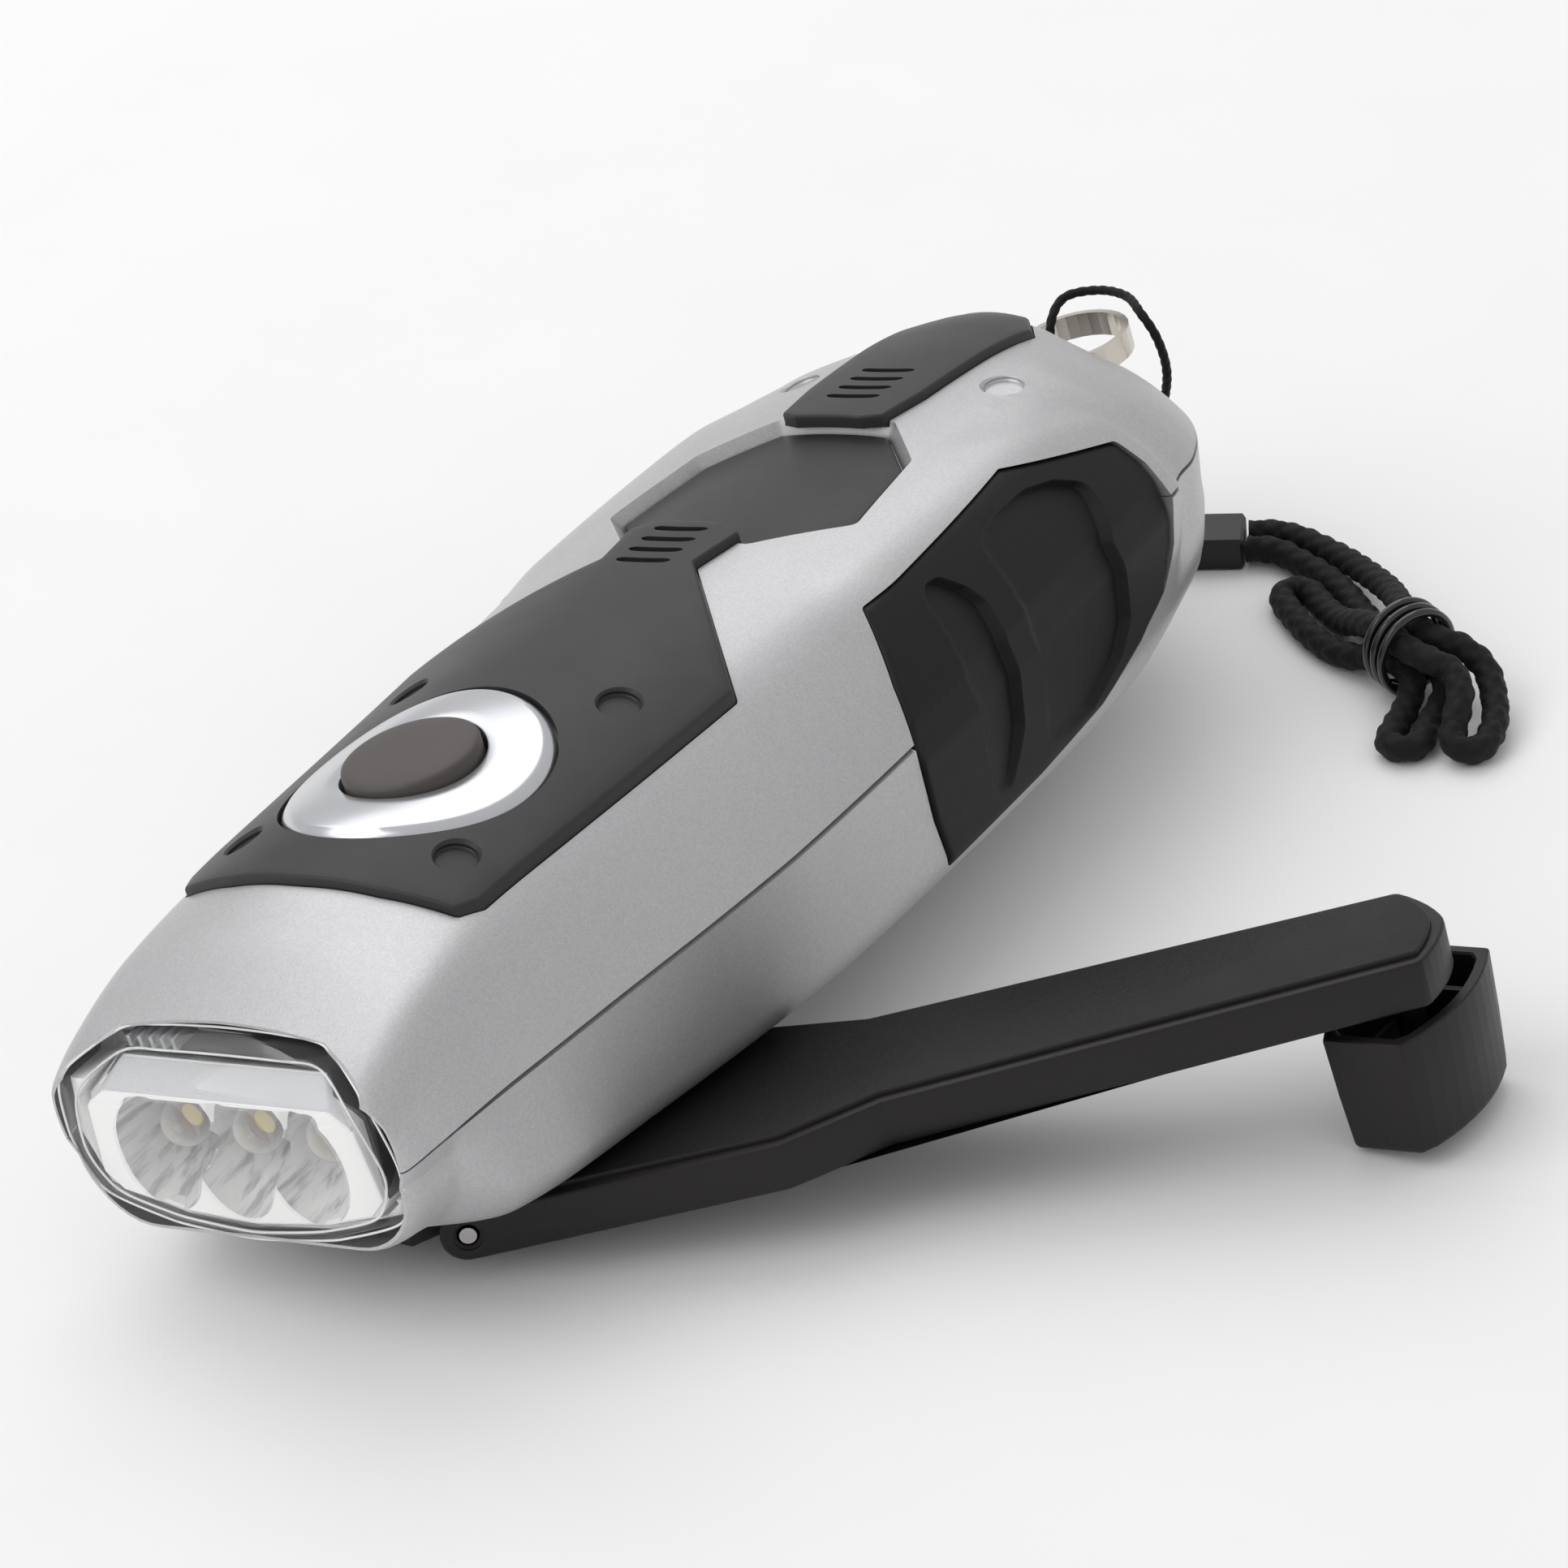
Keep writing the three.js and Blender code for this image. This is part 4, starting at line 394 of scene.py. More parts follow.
def prism_x(name, outline, x0, x1):
    """A prism along X whose outline is in Y and Z."""
    outline = counterclockwise(outline)
    return loft(name, [[(x0, y, z) for y, z in outline], [(x1, y, z) for y, z in outline]])


def block(name, x0, x1, y0, y1, z0, z1):
    return prism(name, [(x0, y0), (x1, y0), (x1, y1), (x0, y1)], z0, z1)


def circle(x, y, radius, sides=48):
    turn = np.arange(sides) / sides * 2 * PI
    return np.column_stack([x + radius * np.cos(turn), y + radius * np.sin(turn)])


def turned(name, x, y, profile, sides=64):
    """A solid of revolution about an upright axis; the profile runs up in (radius, height)."""
    return loft(name, [[(*point, z) for point in circle(x, y, max(radius, 0.01), sides)]
                       for radius, z in profile])


def post(name, x, y, z0, z1, radius, sides=48):
    return turned(name, x, y, [(radius, z0), (radius, z1)], sides)


def soft_post(name, x, y, z0, z1, radius, chamfer=0.25, sides=64):
    arc = [(chamfer * (1 - math.cos(a)), chamfer * (1 - math.sin(a))) for a in np.linspace(0, PI / 2, 4)]
    low = [(radius - i, z0 + k) for i, k in reversed(arc)]
    high = [(radius - i, z1 - k) for i, k in arc]
    return turned(name, x, y, low + high, sides)


def soft_prism(name, outline, z0, z1, edge, low_edge):
    """A prism with rounded top and bottom edges."""
    outline = counterclockwise(outline)
    turns = np.linspace(0, PI / 2, 4)
    rings = []
    for a in turns[::-1] if low_edge else [0]:
        rings.append((low_edge * (1 - math.cos(a)), z0 + low_edge * (1 - math.sin(a))))
    for a in turns:
        rings.append((edge * (1 - math.cos(a)), z1 - edge * (1 - math.sin(a))))
    return loft(name, [[(x, y, z) for x, y in inset(outline, margin)] for margin, z in rings])


TO_Y = Matrix(((1, 0, 0, 0), (0, 0, 1, 0), (0, -1, 0, 0), (0, 0, 0, 1)))


def turned_y(name, x, z, profile, sides=48):
    """A solid of revolution about an axis along Y; the profile runs in (radius, place along Y)."""
    return moved(turned(name, 0, 0, profile, sides), place(x, 0, z) @ TO_Y)


# Hull of the two shells
def pchip(x, y, at):
    """Smooth curve through the rows that doesn't overshoot them."""
    step = np.diff(x)
    slope = np.diff(y) / step
    tangent = np.zeros_like(y)
    same = slope[:-1] * slope[1:] > 0
    w1, w2 = 2 * step[1:] + step[:-1], step[1:] + 2 * step[:-1]
    safe = np.where(same, slope[:-1], 1), np.where(same, slope[1:], 1)
    tangent[1:-1] = np.where(same, (w1 + w2) / (w1 / safe[0] + w2 / safe[1]), 0)
    tangent[0], tangent[-1] = slope[0], slope[-1]
    i = np.clip(np.searchsorted(x, at, side="right") - 1, 0, len(x) - 2)
    h = step[i]
    t = (at - x[i]) / h
    return ((2 * t**3 - 3 * t**2 + 1) * y[i] + (t**3 - 2 * t**2 + t) * h * tangent[i]
            + (3 * t**2 - 2 * t**3) * y[i + 1] + (t**3 - t**2) * h * tangent[i + 1])


station_y = STATION_SHARES[:, 0] * BODY_LENGTH
belly_depth = UNDERSIDE_DEPTH + (station_y - HUB_Y) * math.tan(UNDERSIDE_TILT)
STATION_SIZES = np.column_stack([
    STATION_SHARES[:, 1] * BODY_WIDTH / 2, STATION_SHARES[:, 2] * DECK_WIDTH / 2,
    STATION_SHARES[:, 3] * DECK_SPAN, STATION_SHARES[:, 4] * DECK_SPAN,
    PARTING_Z - STATION_SHARES[:, 5] * belly_depth, STATION_SHARES[:, 6] * BELLY_CORNER])


def sizes_at(y):
    """Half width, half deck, crown, deck edge, belly and belly corner at each place along the body."""
    y = np.clip(np.atleast_1d(np.asarray(y, float)), station_y[0], station_y[-1])
    return np.column_stack([pchip(station_y, STATION_SIZES[:, k], y) for k in range(6)])


def bezier(a, b, c, steps, skip=0):
    t = np.linspace(0, 1, steps)[skip:, None]
    return (1 - t) ** 2 * np.array(a) + 2 * t * (1 - t) * np.array(b) + t * t * np.array(c)


DECK_STEPS, FILLET_STEPS, SIDE_STEPS, CORNER_STEPS = 18, 9, 14, 9
SIDE_BULGE = 0.6
WALL_LEAN = 0.8
# The deck's fillet, and how much it grows toward the tail
DECK_FILLET = 2.4
TAIL_FILLET = 4.5
FILLET_START = 88
FILLET_REACH = 25


def upper_half(sizes, y, margin=0):
    """Right half of the section over the parting line, from the deck's middle down."""
    half, deck, crown, edge = sizes[:4]
    half, crown, edge = half - margin, crown - margin, edge - margin
    deck = min(deck - margin * 0.6, half)
    soft = min(DECK_FILLET + TAIL_FILLET * np.clip((y - FILLET_START) / FILLET_REACH, 0, 1), 0.42 * deck)
    share = 1 - soft / deck
    t = np.linspace(0, share, DECK_STEPS)
    top = np.column_stack([deck * t, crown - (crown - edge) * t * t])
    bulge = min(SIDE_BULGE, half * 0.05)
    mid = np.array([(deck + half) / 2 + bulge, (edge + PARTING_Z) / 2 + bulge])
    control = 2 * mid - np.array([deck + half, edge + PARTING_Z]) / 2
    side = bezier((deck, edge), control, (half, PARTING_Z), 40)
    way = way_along(side)
    first = min(soft, 0.4 * way[-1])
    at = np.linspace(first, way[-1], SIDE_STEPS)
    side = np.column_stack([np.interp(at, way, side[:, 0]), np.interp(at, way, side[:, 1])])
    corner = bezier(top[-1], (deck, edge), side[0], FILLET_STEPS + 2)[1:-1]
    return np.vstack([top, corner, side])


def lower_half(sizes, margin=0):
    """Right half of the section under the parting line, from the line down to the belly's middle."""
    half, belly, radius = sizes[0], sizes[4], sizes[5]
    half, belly = half - margin, belly + margin
    room = PARTING_Z - belly
    corner = max(0.05, min(radius - margin, room * 0.8, half * 0.6))
    lean = min(WALL_LEAN, half * 0.1)
    wall = np.column_stack([np.linspace(half, half - lean, 7), np.linspace(PARTING_Z, belly + corner, 7)])
    turn = np.linspace(0, PI / 2, CORNER_STEPS + 1)[1:]
    arc = np.column_stack([half - lean - corner + corner * np.cos(turn),
                           belly + corner - corner * np.sin(turn)])
    flat = np.column_stack([np.linspace(arc[-1, 0], 0, 7)[1:], np.full(6, belly)])
    return np.vstack([wall, arc, flat])


def hull_rows(spacing=1.0):
    front = np.arange(station_y[0], TAIL_Y, spacing)
    rear = TAIL_Y + (station_y[-1] - TAIL_Y) * np.sin(np.linspace(0, PI / 2, round(26 / spacing)))
    return np.concatenate([front, rear])


def mirrored_ring(right, y, ends_in_middle=True):
    """A full section at a place along the body, from its right half."""
    left = (right[1:-1] if ends_in_middle else right[1:])[::-1] * [-1, 1]
    ring = np.vstack([right, left])
    return np.column_stack([ring[:, 0], np.full(len(ring), y), ring[:, 1]])


def hull(name, margin, spacing=1.0, rows=None):
    """The whole hull, moved inward by a margin."""
    rings = []
    for y in hull_rows(spacing) if rows is None else rows:
        sizes = sizes_at(y)[0]
        right = np.vstack([upper_half(sizes, y, margin), lower_half(sizes, margin)[1:]])
        rings.append(mirrored_ring(right, y))
    return loft(name, rings)


def deck_z(x, y):
    sizes = sizes_at(y)
    half_deck, crown, edge = sizes[:, 1], sizes[:, 2], sizes[:, 3]
    return crown - (crown - edge) * (np.asarray(x, float) / half_deck) ** 2


def side_x(y, z):
    """How far out the side of the hull is at each place along the body and height."""
    result = []
    for yy, zz in zip(np.atleast_1d(y), np.atleast_1d(z)):
        sizes = sizes_at(yy)[0]
        line = np.vstack([upper_half(sizes, yy)[DECK_STEPS:], lower_half(sizes)[1:7 + CORNER_STEPS - 1]])
        line = line[np.concatenate([[True], np.diff(line[:, 1]) < -1e-6])]
        result.append(np.interp(-zz, -line[:, 1], line[:, 0]))
    return np.array(result)


# Materials
def node_material(name):
    """A new material, its nodes and links, its shader and its object coordinates."""
    material = bpy.data.materials.new(name)
    material.use_nodes = True
    nodes = material.node_tree.nodes
    coordinates = nodes.new("ShaderNodeTexCoord").outputs["Object"]
    return material, nodes, material.node_tree.links, nodes["Principled BSDF"], coordinates


def set_inputs(node, values):
    for name, value in values.items():
        node.inputs[name].default_value = value


def noise_node(nodes, links, source, scale, detail=3, roughness=0.5):
    node = nodes.new("ShaderNodeTexNoise")
    set_inputs(node, {"Scale": scale, "Detail": detail, "Roughness": roughness})
    links.new(source, node.inputs["Vector"])
    return node.outputs["Fac"]


def span_node(nodes, links, source, low, high):
    """Maps 0 to 1 onto low to high."""
    node = nodes.new("ShaderNodeMapRange")
    set_inputs(node, {"To Min": low, "To Max": high})
    links.new(source, node.inputs["Value"])
    return node.outputs["Result"]


def bump_node(nodes, links, height, strength, depth):
    node = nodes.new("ShaderNodeBump")
    set_inputs(node, {"Strength": strength, "Distance": depth})
    links.new(height, node.inputs["Height"])
    return node.outputs["Normal"]


def ramp_node(nodes, links, source, *stops):
    node = nodes.new("ShaderNodeValToRGB")
    ramp = node.color_ramp
    while len(ramp.elements) < len(stops):
        ramp.elements.new(0.5)
    for element, (position, colour) in zip(ramp.elements, stops):
        element.position = position
        element.color = (*colour, 1)
    links.new(source, node.inputs["Fac"])
    return node.outputs["Color"]


def tone(colour, factor):
    return tuple(min(1, c * factor) for c in colour)


def srgb(red, green, blue):
    return tuple(((c / 255 + 0.055) / 1.055) ** 2.4 if c > 10 else c / 255 / 12.92
                 for c in (red, green, blue))


def finish_material(name, colour, roughness, metallic=0, grain=9000, bump=0.12, depth=0.00002,
                    mottle=0.05, specular=0.5, coat=0, spread=0.08, fleck=0, fleck_scale=6000, sheen=0):
    """Moulded, painted or metal surface: soft mottling, uneven gloss, fine grain and flecks."""
    material, nodes, links, shader, coordinates = node_material(name)
    soft = noise_node(nodes, links, coordinates, 55, 4)
    fine = noise_node(nodes, links, coordinates, grain, 2)
    shaded = ramp_node(nodes, links, soft, (0.3, tone(colour, 1 - mottle)), (0.7, tone(colour, 1 + mottle)))
    if fleck:
        cells = nodes.new("ShaderNodeTexVoronoi")
        cells.inputs["Scale"].default_value = fleck_scale
        links.new(coordinates, cells.inputs["Vector"])
        grey = ramp_node(nodes, links, cells.outputs["Color"], (0, (1 - fleck,) * 3), (1, (1 + fleck,) * 3))
        mix = nodes.new("ShaderNodeMix")
        mix.data_type = "RGBA"
        mix.blend_type = "MULTIPLY"
        mix.inputs["Factor"].default_value = 1
        links.new(shaded, mix.inputs["A"])
        links.new(grey, mix.inputs["B"])
        shaded = mix.outputs["Result"]
    links.new(shaded, shader.inputs["Base Color"])
    wear = noise_node(nodes, links, coordinates, 160, 5, 0.6)
    gloss = span_node(nodes, links, wear, max(0, roughness - spread), min(1, roughness + spread))
    links.new(gloss, shader.inputs["Roughness"])
    links.new(bump_node(nodes, links, fine, bump, depth), shader.inputs["Normal"])
    set_inputs(shader, {"Metallic": metallic, "Specular IOR Level": specular, "Coat Weight": coat,
                        "Coat Roughness": 0.1, "Sheen Weight": sheen})
    return material


SILVER = finish_material("silver_paint", srgb(192, 191, 193), 0.42, 0.7, 6500, 0.14, 0.00002, 0.012,
                         fleck=0.09, fleck_scale=6500, spread=0.04)
BEZEL = finish_material("bright_bezel", srgb(205, 206, 210), 0.24, 0.85, 5200, 0.1, 0.00001, 0.015,
                        spread=0.04)
PANEL = finish_material("panel_plastic", srgb(50, 48, 50), 0.42, 0, 7000, 0.3, 0.00003, 0.06, specular=0.3)
BUTTON = finish_material("button_rubber", srgb(75, 70, 68), 0.55, 0, 7000, 0.35, 0.00004, 0.05)
GRIP = finish_material("grip_rubber", srgb(26, 24, 25), 0.5, 0, 5200, 0.35, 0.00004, 0.08, specular=0.25)
SATIN = finish_material("satin_black", srgb(34, 31, 32), 0.42, 0, 6500, 0.35, 0.00003, 0.06, specular=0.25)
TEXTURED = finish_material("textured_black", srgb(26, 24, 25), 0.5, 0, 2600, 0.8, 0.00008, 0.06,
                           specular=0.22)
INNER_BLACK = finish_material("inner_plastic", srgb(40, 39, 40), 0.6, 0, 5000, 0.2, 0.00003, 0.06)
WHITE = finish_material("white_plastic", srgb(252, 252, 251), 0.35, 0, 6000, 0.1, 0.00002, 0.015)
# Light grey: painted shade on the reflector's upward shelf faces; the frame ribs take the same grey.
SHELF_SHADE_GREY = finish_material("shelf_shade_grey", srgb(206, 207, 210), 0.4, 0.1, 6000, 0.1, 0.00002, 0.02)
STEEL = finish_material("steel", srgb(176, 174, 172), 0.3, 1, 4200, 0.15, 0.00002, 0.05)
WARM_METAL = finish_material("warm_metal", srgb(206, 200, 190), 0.28, 1, 4200, 0.2, 0.00002, 0.06)
LEAD_FRAME = finish_material("lead_frame", srgb(158, 132, 126), 0.35, 0.3, 4200, 0.1, 0.00002, 0.08)
PHOSPHOR = finish_material("led_phosphor", srgb(226, 205, 120), 0.5, 0, 6000, 0.2, 0.00002, 0.05)
BRASS = finish_material("brass", srgb(196, 160, 92), 0.3, 1, 4200, 0.15, 0.00002, 0.06)
COPPER = finish_material("copper_wire", srgb(184, 106, 62), 0.32, 1, 3800, 0.3, 0.00004, 0.08)
MAGNET = finish_material("magnet", srgb(84, 84, 88), 0.45, 0.6, 3800, 0.3, 0.00004, 0.05)
NYLON = finish_material("nylon", srgb(226, 222, 210), 0.45, 0, 5000, 0.12, 0.00002, 0.03)
BOARD = finish_material("circuit_board", srgb(38, 92, 56), 0.4, 0, 4200, 0.2, 0.00003, 0.1)
CORD = finish_material("cord_yarn", srgb(20, 19, 20), 0.65, 0, 9000, 0.6, 0.00006, 0.12, specular=0.2,
                       sheen=0.04)
THREAD = finish_material("thread_yarn", srgb(20, 19, 20), 0.6, 0, 9000, 0.5, 0.00005, 0.12, specular=0.2,
                         sheen=0.04)
FERRULE = finish_material("ferrule_plastic", srgb(24, 24, 25), 0.36, 0, 6000, 0.25, 0.00003, 0.06,
                          specular=0.35)
TIE = finish_material("tie_plastic", srgb(24, 24, 25), 0.22, 0, 6000, 0.1, 0.00002, 0.05, coat=0.4)


def clear_material(name, colour, roughness, ior, alpha):
    material, nodes, links, shader, coordinates = node_material(name)
    wear = noise_node(nodes, links, coordinates, 300, 3)
    gloss = span_node(nodes, links, wear, max(0, roughness - 0.01), roughness + 0.03)
    links.new(gloss, shader.inputs["Roughness"])
    ripple = noise_node(nodes, links, coordinates, 700, 2)
    links.new(bump_node(nodes, links, ripple, 0.05, 0.00002), shader.inputs["Normal"])
    set_inputs(shader, {"Base Color": (*colour, 1), "Transmission Weight": 1, "IOR": ior, "Alpha": alpha})
    return material


def shell_glass(name, colour, roughness, middle, edge):
    """Thin clear resin that thickens toward its outline."""
    material = clear_material(name, colour, roughness, 1.45, 1)
    nodes, links = material.node_tree.nodes, material.node_tree.links
    shader = nodes["Principled BSDF"]
    set_inputs(shader, {"Transmission Weight": 0, "Coat Weight": 0.8, "Coat Roughness": 0.04})
    facing = nodes.new("ShaderNodeLayerWeight")
    set_inputs(facing, {"Blend": 0.45})
    links.new(span_node(nodes, links, facing.outputs["Facing"], middle, edge), shader.inputs["Alpha"])
    return material


def painted_reflection_material(name, dark, light):
    """Mirrored wall with painted reflections: grey and white streaks along the lamp's axis."""
    material, nodes, links, shader, coordinates = node_material(name)
    stretch = nodes.new("ShaderNodeMapping")
    set_inputs(stretch, {"Scale": (1000, 45, 700)})
    links.new(coordinates, stretch.inputs["Vector"])
    painted_reflections = noise_node(nodes, links, stretch.outputs["Vector"], 1, 3, 0.6)
    links.new(ramp_node(nodes, links, painted_reflections, (0.36, dark), (0.5, light), (0.7, (1, 1, 1))),
              shader.inputs["Base Color"])
    set_inputs(shader, {"Metallic": 0.25, "Roughness": 0.22, "Coat Weight": 0.7, "Coat Roughness": 0.05})
    return material


CLEAR = clear_material("clear_plastic", (0.98, 0.985, 0.985), 0.02, 1.45, 0.14)
# Near-white, nearly opaque lines along the lens's edges: painted highlights.
EDGE_HIGHLIGHT = finish_material("painted_edge_highlight", srgb(236, 237, 239), 0.2, 0, 6000, 0.05, 0.00001, 0.02, coat=0.6)
LED_CLEAR = shell_glass("led_resin", (0.8, 0.79, 0.78), 0.06, 0.18, 0.85)
# The cups' grey and white streaks are painted reflections.
MIRROR = painted_reflection_material("mirror_coat", (0.5, 0.5, 0.52), (0.93, 0.93, 0.93))

SLOT_FINISH = {
    "silver_shell": SILVER, "black_panel": PANEL, "satin_black": SATIN, "rubber": GRIP,
    "clear": CLEAR, "white_plastic": WHITE, "board": BOARD, "nylon": NYLON, "steel": STEEL,
    "brass": BRASS, "magnet": MAGNET, "copper": COPPER, "cord": CORD,
}
NODE_FINISH = {"switch_button": BUTTON, "strap_ring": WARM_METAL, "strap_ferrule": FERRULE}
node_slots = {piece["node"]: piece["material_slot"] for piece in frame["record"]["subparts"]}
for node_name, node in frame["nodes"].items():
    node.data.materials.clear()
    node.data.materials.append(NODE_FINISH.get(node_name, SLOT_FINISH[node_slots[node_name]]))

# Strap: the same routes as the solids follow
CORD_ROUTE = [
    [14.4, 12.6, 1.8], [16.8, 13.8, 1.8], [19.8, 13.8, 1.8], [23.6, 12.6, 1.9], [28, 10.3, 2.4],
    [34.7, 5, 3.9], [38.7, 0, 5.6], [41.2, -3.15, 6.3], [45, -5.4, 6.4], [47.8, -4.8, 5.6],
    [50.6, -5.3, 4.2], [52.9, -8, 2.9], [54.6, -11.4, 2], [55.1, -14.9, 1.6], [54.6, -16.1, 1.6],
    [53.5, -16.6, 1.8], [52.4, -16.2, 2.2], [51.9, -14.9, 2.8], [51.5, -13.2, 3.8], [50.7, -11, 4.8],
    [49, -9.4, 5.6], [46.4, -9.2, 6.2], [43.6, -8.3, 6.3], [39.7, -5.95, 6.3], [36.4, -3.6, 5],
    [32, -0.2, 2.4], [28.3, 2.8, 1.5], [25.9, 4.7, 1.5], [24.7, 5, 1.5], [23.6, 4.4, 1.5],
    [23.3, 3.2, 1.5], [23.9, 2.1, 1.5], [26.9, -0.6, 1.5], [30, -2.9, 1.5], [33.5, -4.7, 1.5],
    [36.3, -5.4, 2], [39.7, -5.95, 3.1], [43.9, -8.25, 3.1], [44.9, -11, 1.9], [45.3, -14, 1.5],
    [45.8, -16.9, 1.5], [46.3, -18.1, 1.5], [47.5, -18.6, 1.5], [48.6, -18.1, 1.5], [49.1, -16.9, 1.5],
    [48.8, -15.2, 1.5], [48.4, -13.4, 1.5], [48.1, -10.7, 1.7], [47.4, -7.5, 2.4], [45, -5.3, 3.2],
    [41.2, -3.05, 3.2], [37.6, -1, 2.4], [33.1, 2.7, 1.6], [29.3, 6, 1.5], [25.4, 8.4, 1.5],
    [22, 9.7, 1.6], [18.6, 10.6, 1.8], [15.7, 9.8, 1.8],
]
THREAD_ROUTE = [
    [6.8, 8.4, 1.8], [5.8, 8, 1.9], [4.6, 8.2, 3.2], [4.6, 9.2, 8], [6.5, 9.4, 16], [8.4, 7.8, 22.5],
    [8, 6.6, 27.2], [6.3, 6.8, 29.3], [3, 9.6, 29.25], [-0.8, 10.4, 28.75], [-3.8, 8.6, 28.15],
    [-4, 6, 26.6], [-3.2, 4.6, 23.1], [-1.8, 6, 17], [0, 7, 10], [2.2, 6, 4.2], [4.6, 5.4, 2],
    [6.4, 6, 1.8], [7.6, 6.6, 1.8],
]
CORD_DIAMETER = 2.9
THREAD_DIAMETER = 1
THREAD_PITCH = 2.4
BRAID_STRANDS = 4
BRAID_PITCH = 2.3
TIE_DIAMETER = 0.9
TIE_PLACE = Vector((42.4, -5.7, 4.85))
TIE_TURN = math.radians(-30.6)
TIE_RADIUS = 4.35
TIE_PITCH = 1.35
TIE_TURNS = 3
TIE_STEPS = 28


def braided(turn, way):
    """Two families of strands that cross over and under each other."""
    across = turn / (2 * PI) * BRAID_STRANDS
    one = across + way / BRAID_PITCH
    other = across - way / BRAID_PITCH
    ridge = np.abs(np.sin(PI * one) * np.sin(PI * other)) ** 0.55
    return CORD_DIAMETER / 2 * (0.83 + 0.19 * ridge)


def twisted(turn, way):
    return THREAD_DIAMETER / 2 * (0.86 + 0.16 * np.abs(np.sin(turn - way * 2 * PI / THREAD_PITCH)))


def plain(size):
    """The same radius at every angle and length."""
    return lambda turn, way: size * np.ones_like(turn + way)


def cord_piece(name, node, points, sides, radius, material):
    points = np.array([STRAP @ Vector(p) for p in points])
    obj = shade(tube(name, points / MM, sides, radius), 60)
    obj.data.transform(Matrix.Scale(MM, 4))
    dress(obj, Matrix.Identity(4), "body", "cord", [material], node)


cord_line, cord_length = routed(CORD_ROUTE, 0.16)
thread_line, thread_length = routed(THREAD_ROUTE, 0.16)
tie_angles = np.linspace(0, TIE_TURNS * 2 * PI, TIE_TURNS * TIE_STEPS + 1)
tie_points = np.column_stack([(tie_angles / (2 * PI) - TIE_TURNS / 2) * TIE_PITCH,
                              TIE_RADIUS * np.sin(tie_angles), -TIE_RADIUS * np.cos(tie_angles)])
tie_matrix = Matrix.Translation(TIE_PLACE) @ Matrix.Rotation(TIE_TURN, 4, "Z")
tie_line, tie_length = routed([tie_matrix @ Vector(p) for p in tie_points], 0.25)

cord_piece("braided_cord", "strap_cord", cord_line, 20, braided, CORD)
cord_piece("ring_thread", "strap_thread", thread_line, 12, twisted, THREAD)
cord_piece("tie_wire", "strap_tie", tie_line, 14,
           plain(TIE_DIAMETER / 2), TIE)

# Outlines of the deck inlays and the grips
FRONT_PANEL = mirrored([(0.8, -7.3), (8.4, -6.9), (15.6, -5.8), (16.75, -3.5), (19, 34.5), (5.5, 50.5),
                        (6.5, 57), (3.9, 58.3)])
MID_PANEL = mirrored([(3.9, 59), (6.8, 57.3), (13.5, 64.5), (11.9, 76.8), (6.3, 83.1)])
REAR_PANEL = mirrored([(3.9, 82.75), (6.1, 83.7), (7, 89.6), (7.75, 108.8), (4.6, 113.1)])
GRIP_OUTLINE = [(53.4, -5.6), (80, -5.3), (94.2, -9.8), (94.9, -12.5), (94.4, -16.6), (93.2, -20.4),
                (90.2, -24.2), (84.6, -26.6), (76, -28.9), (64, -29.6), (47.3, -29.6), (46.4, -24),
                (46.2, -16), (49, -11.3)]
PANEL_CORNER = 0.6
MID_CORNER = 0.5
GRIP_CORNER = 0.7


def field_piece(name, outline, top, bottom, edge_radius, spacing, extra=()):
    """A plate over an outline with a rounded top edge, where top and bottom give heights at (u, v)."""
    outline = dense(counterclockwise(outline), spacing)
    loops = [inset(outline, edge_radius * (1 - math.cos(a))) for a in np.linspace(0, PI / 2, 5)]
    drops = [edge_radius * (1 - math.sin(a)) for a in np.linspace(0, PI / 2, 5)]
    low, high = outline.min(0), outline.max(0)
    us, vs = np.meshgrid(np.arange(low[0], high[0], spacing), np.arange(low[1], high[1], spacing))
    inner = np.column_stack([us.ravel(), vs.ravel()])
    inner = inner[inside_distance(inner, loops[-1]) > spacing * 0.45]
    for loop in extra:
        inner = inner[np.abs(inside_distance(inner, loop)) > spacing * 0.45]
    count = len(outline)
    flat = np.vstack([*loops, *extra, inner])
    edges = []
    start = 0
    for loop in [*loops, *extra]:
        edges += [(start + j, start + (j + 1) % len(loop)) for j in range(len(loop))]
        start += len(loop)
    border = [tuple(range(count))]
    verts, _, faces, origins, _, _ = delaunay_2d_cdt([Vector(p) for p in flat], edges, border, 1, 1e-6)
    flat_out = np.array([tuple(v) for v in verts])
    fall = np.zeros(len(verts))
    ring_index = {}
    for index, origin in enumerate(origins):
        if origin and min(origin) < count * 5:
            fall[index] = drops[min(origin) // count]
            if min(origin) < count:
                ring_index[min(origin)] = index
    tops = top(flat_out[:, 0], flat_out[:, 1]) - fall
    bottoms = bottom(flat_out[:, 0], flat_out[:, 1])
    size = len(verts)
    vertices = np.vstack([np.column_stack([flat_out, tops]), np.column_stack([flat_out, bottoms])])
    everything = [tuple(f) for f in faces] + [tuple(i + size for i in reversed(f)) for f in faces]
    rim = [ring_index[j] for j in range(count)]
    for a, b in zip(rim, rim[1:] + rim[:1]):
        everything.append((a, a + size, b + size, b))
    return closed_mesh(name, vertices, everything)


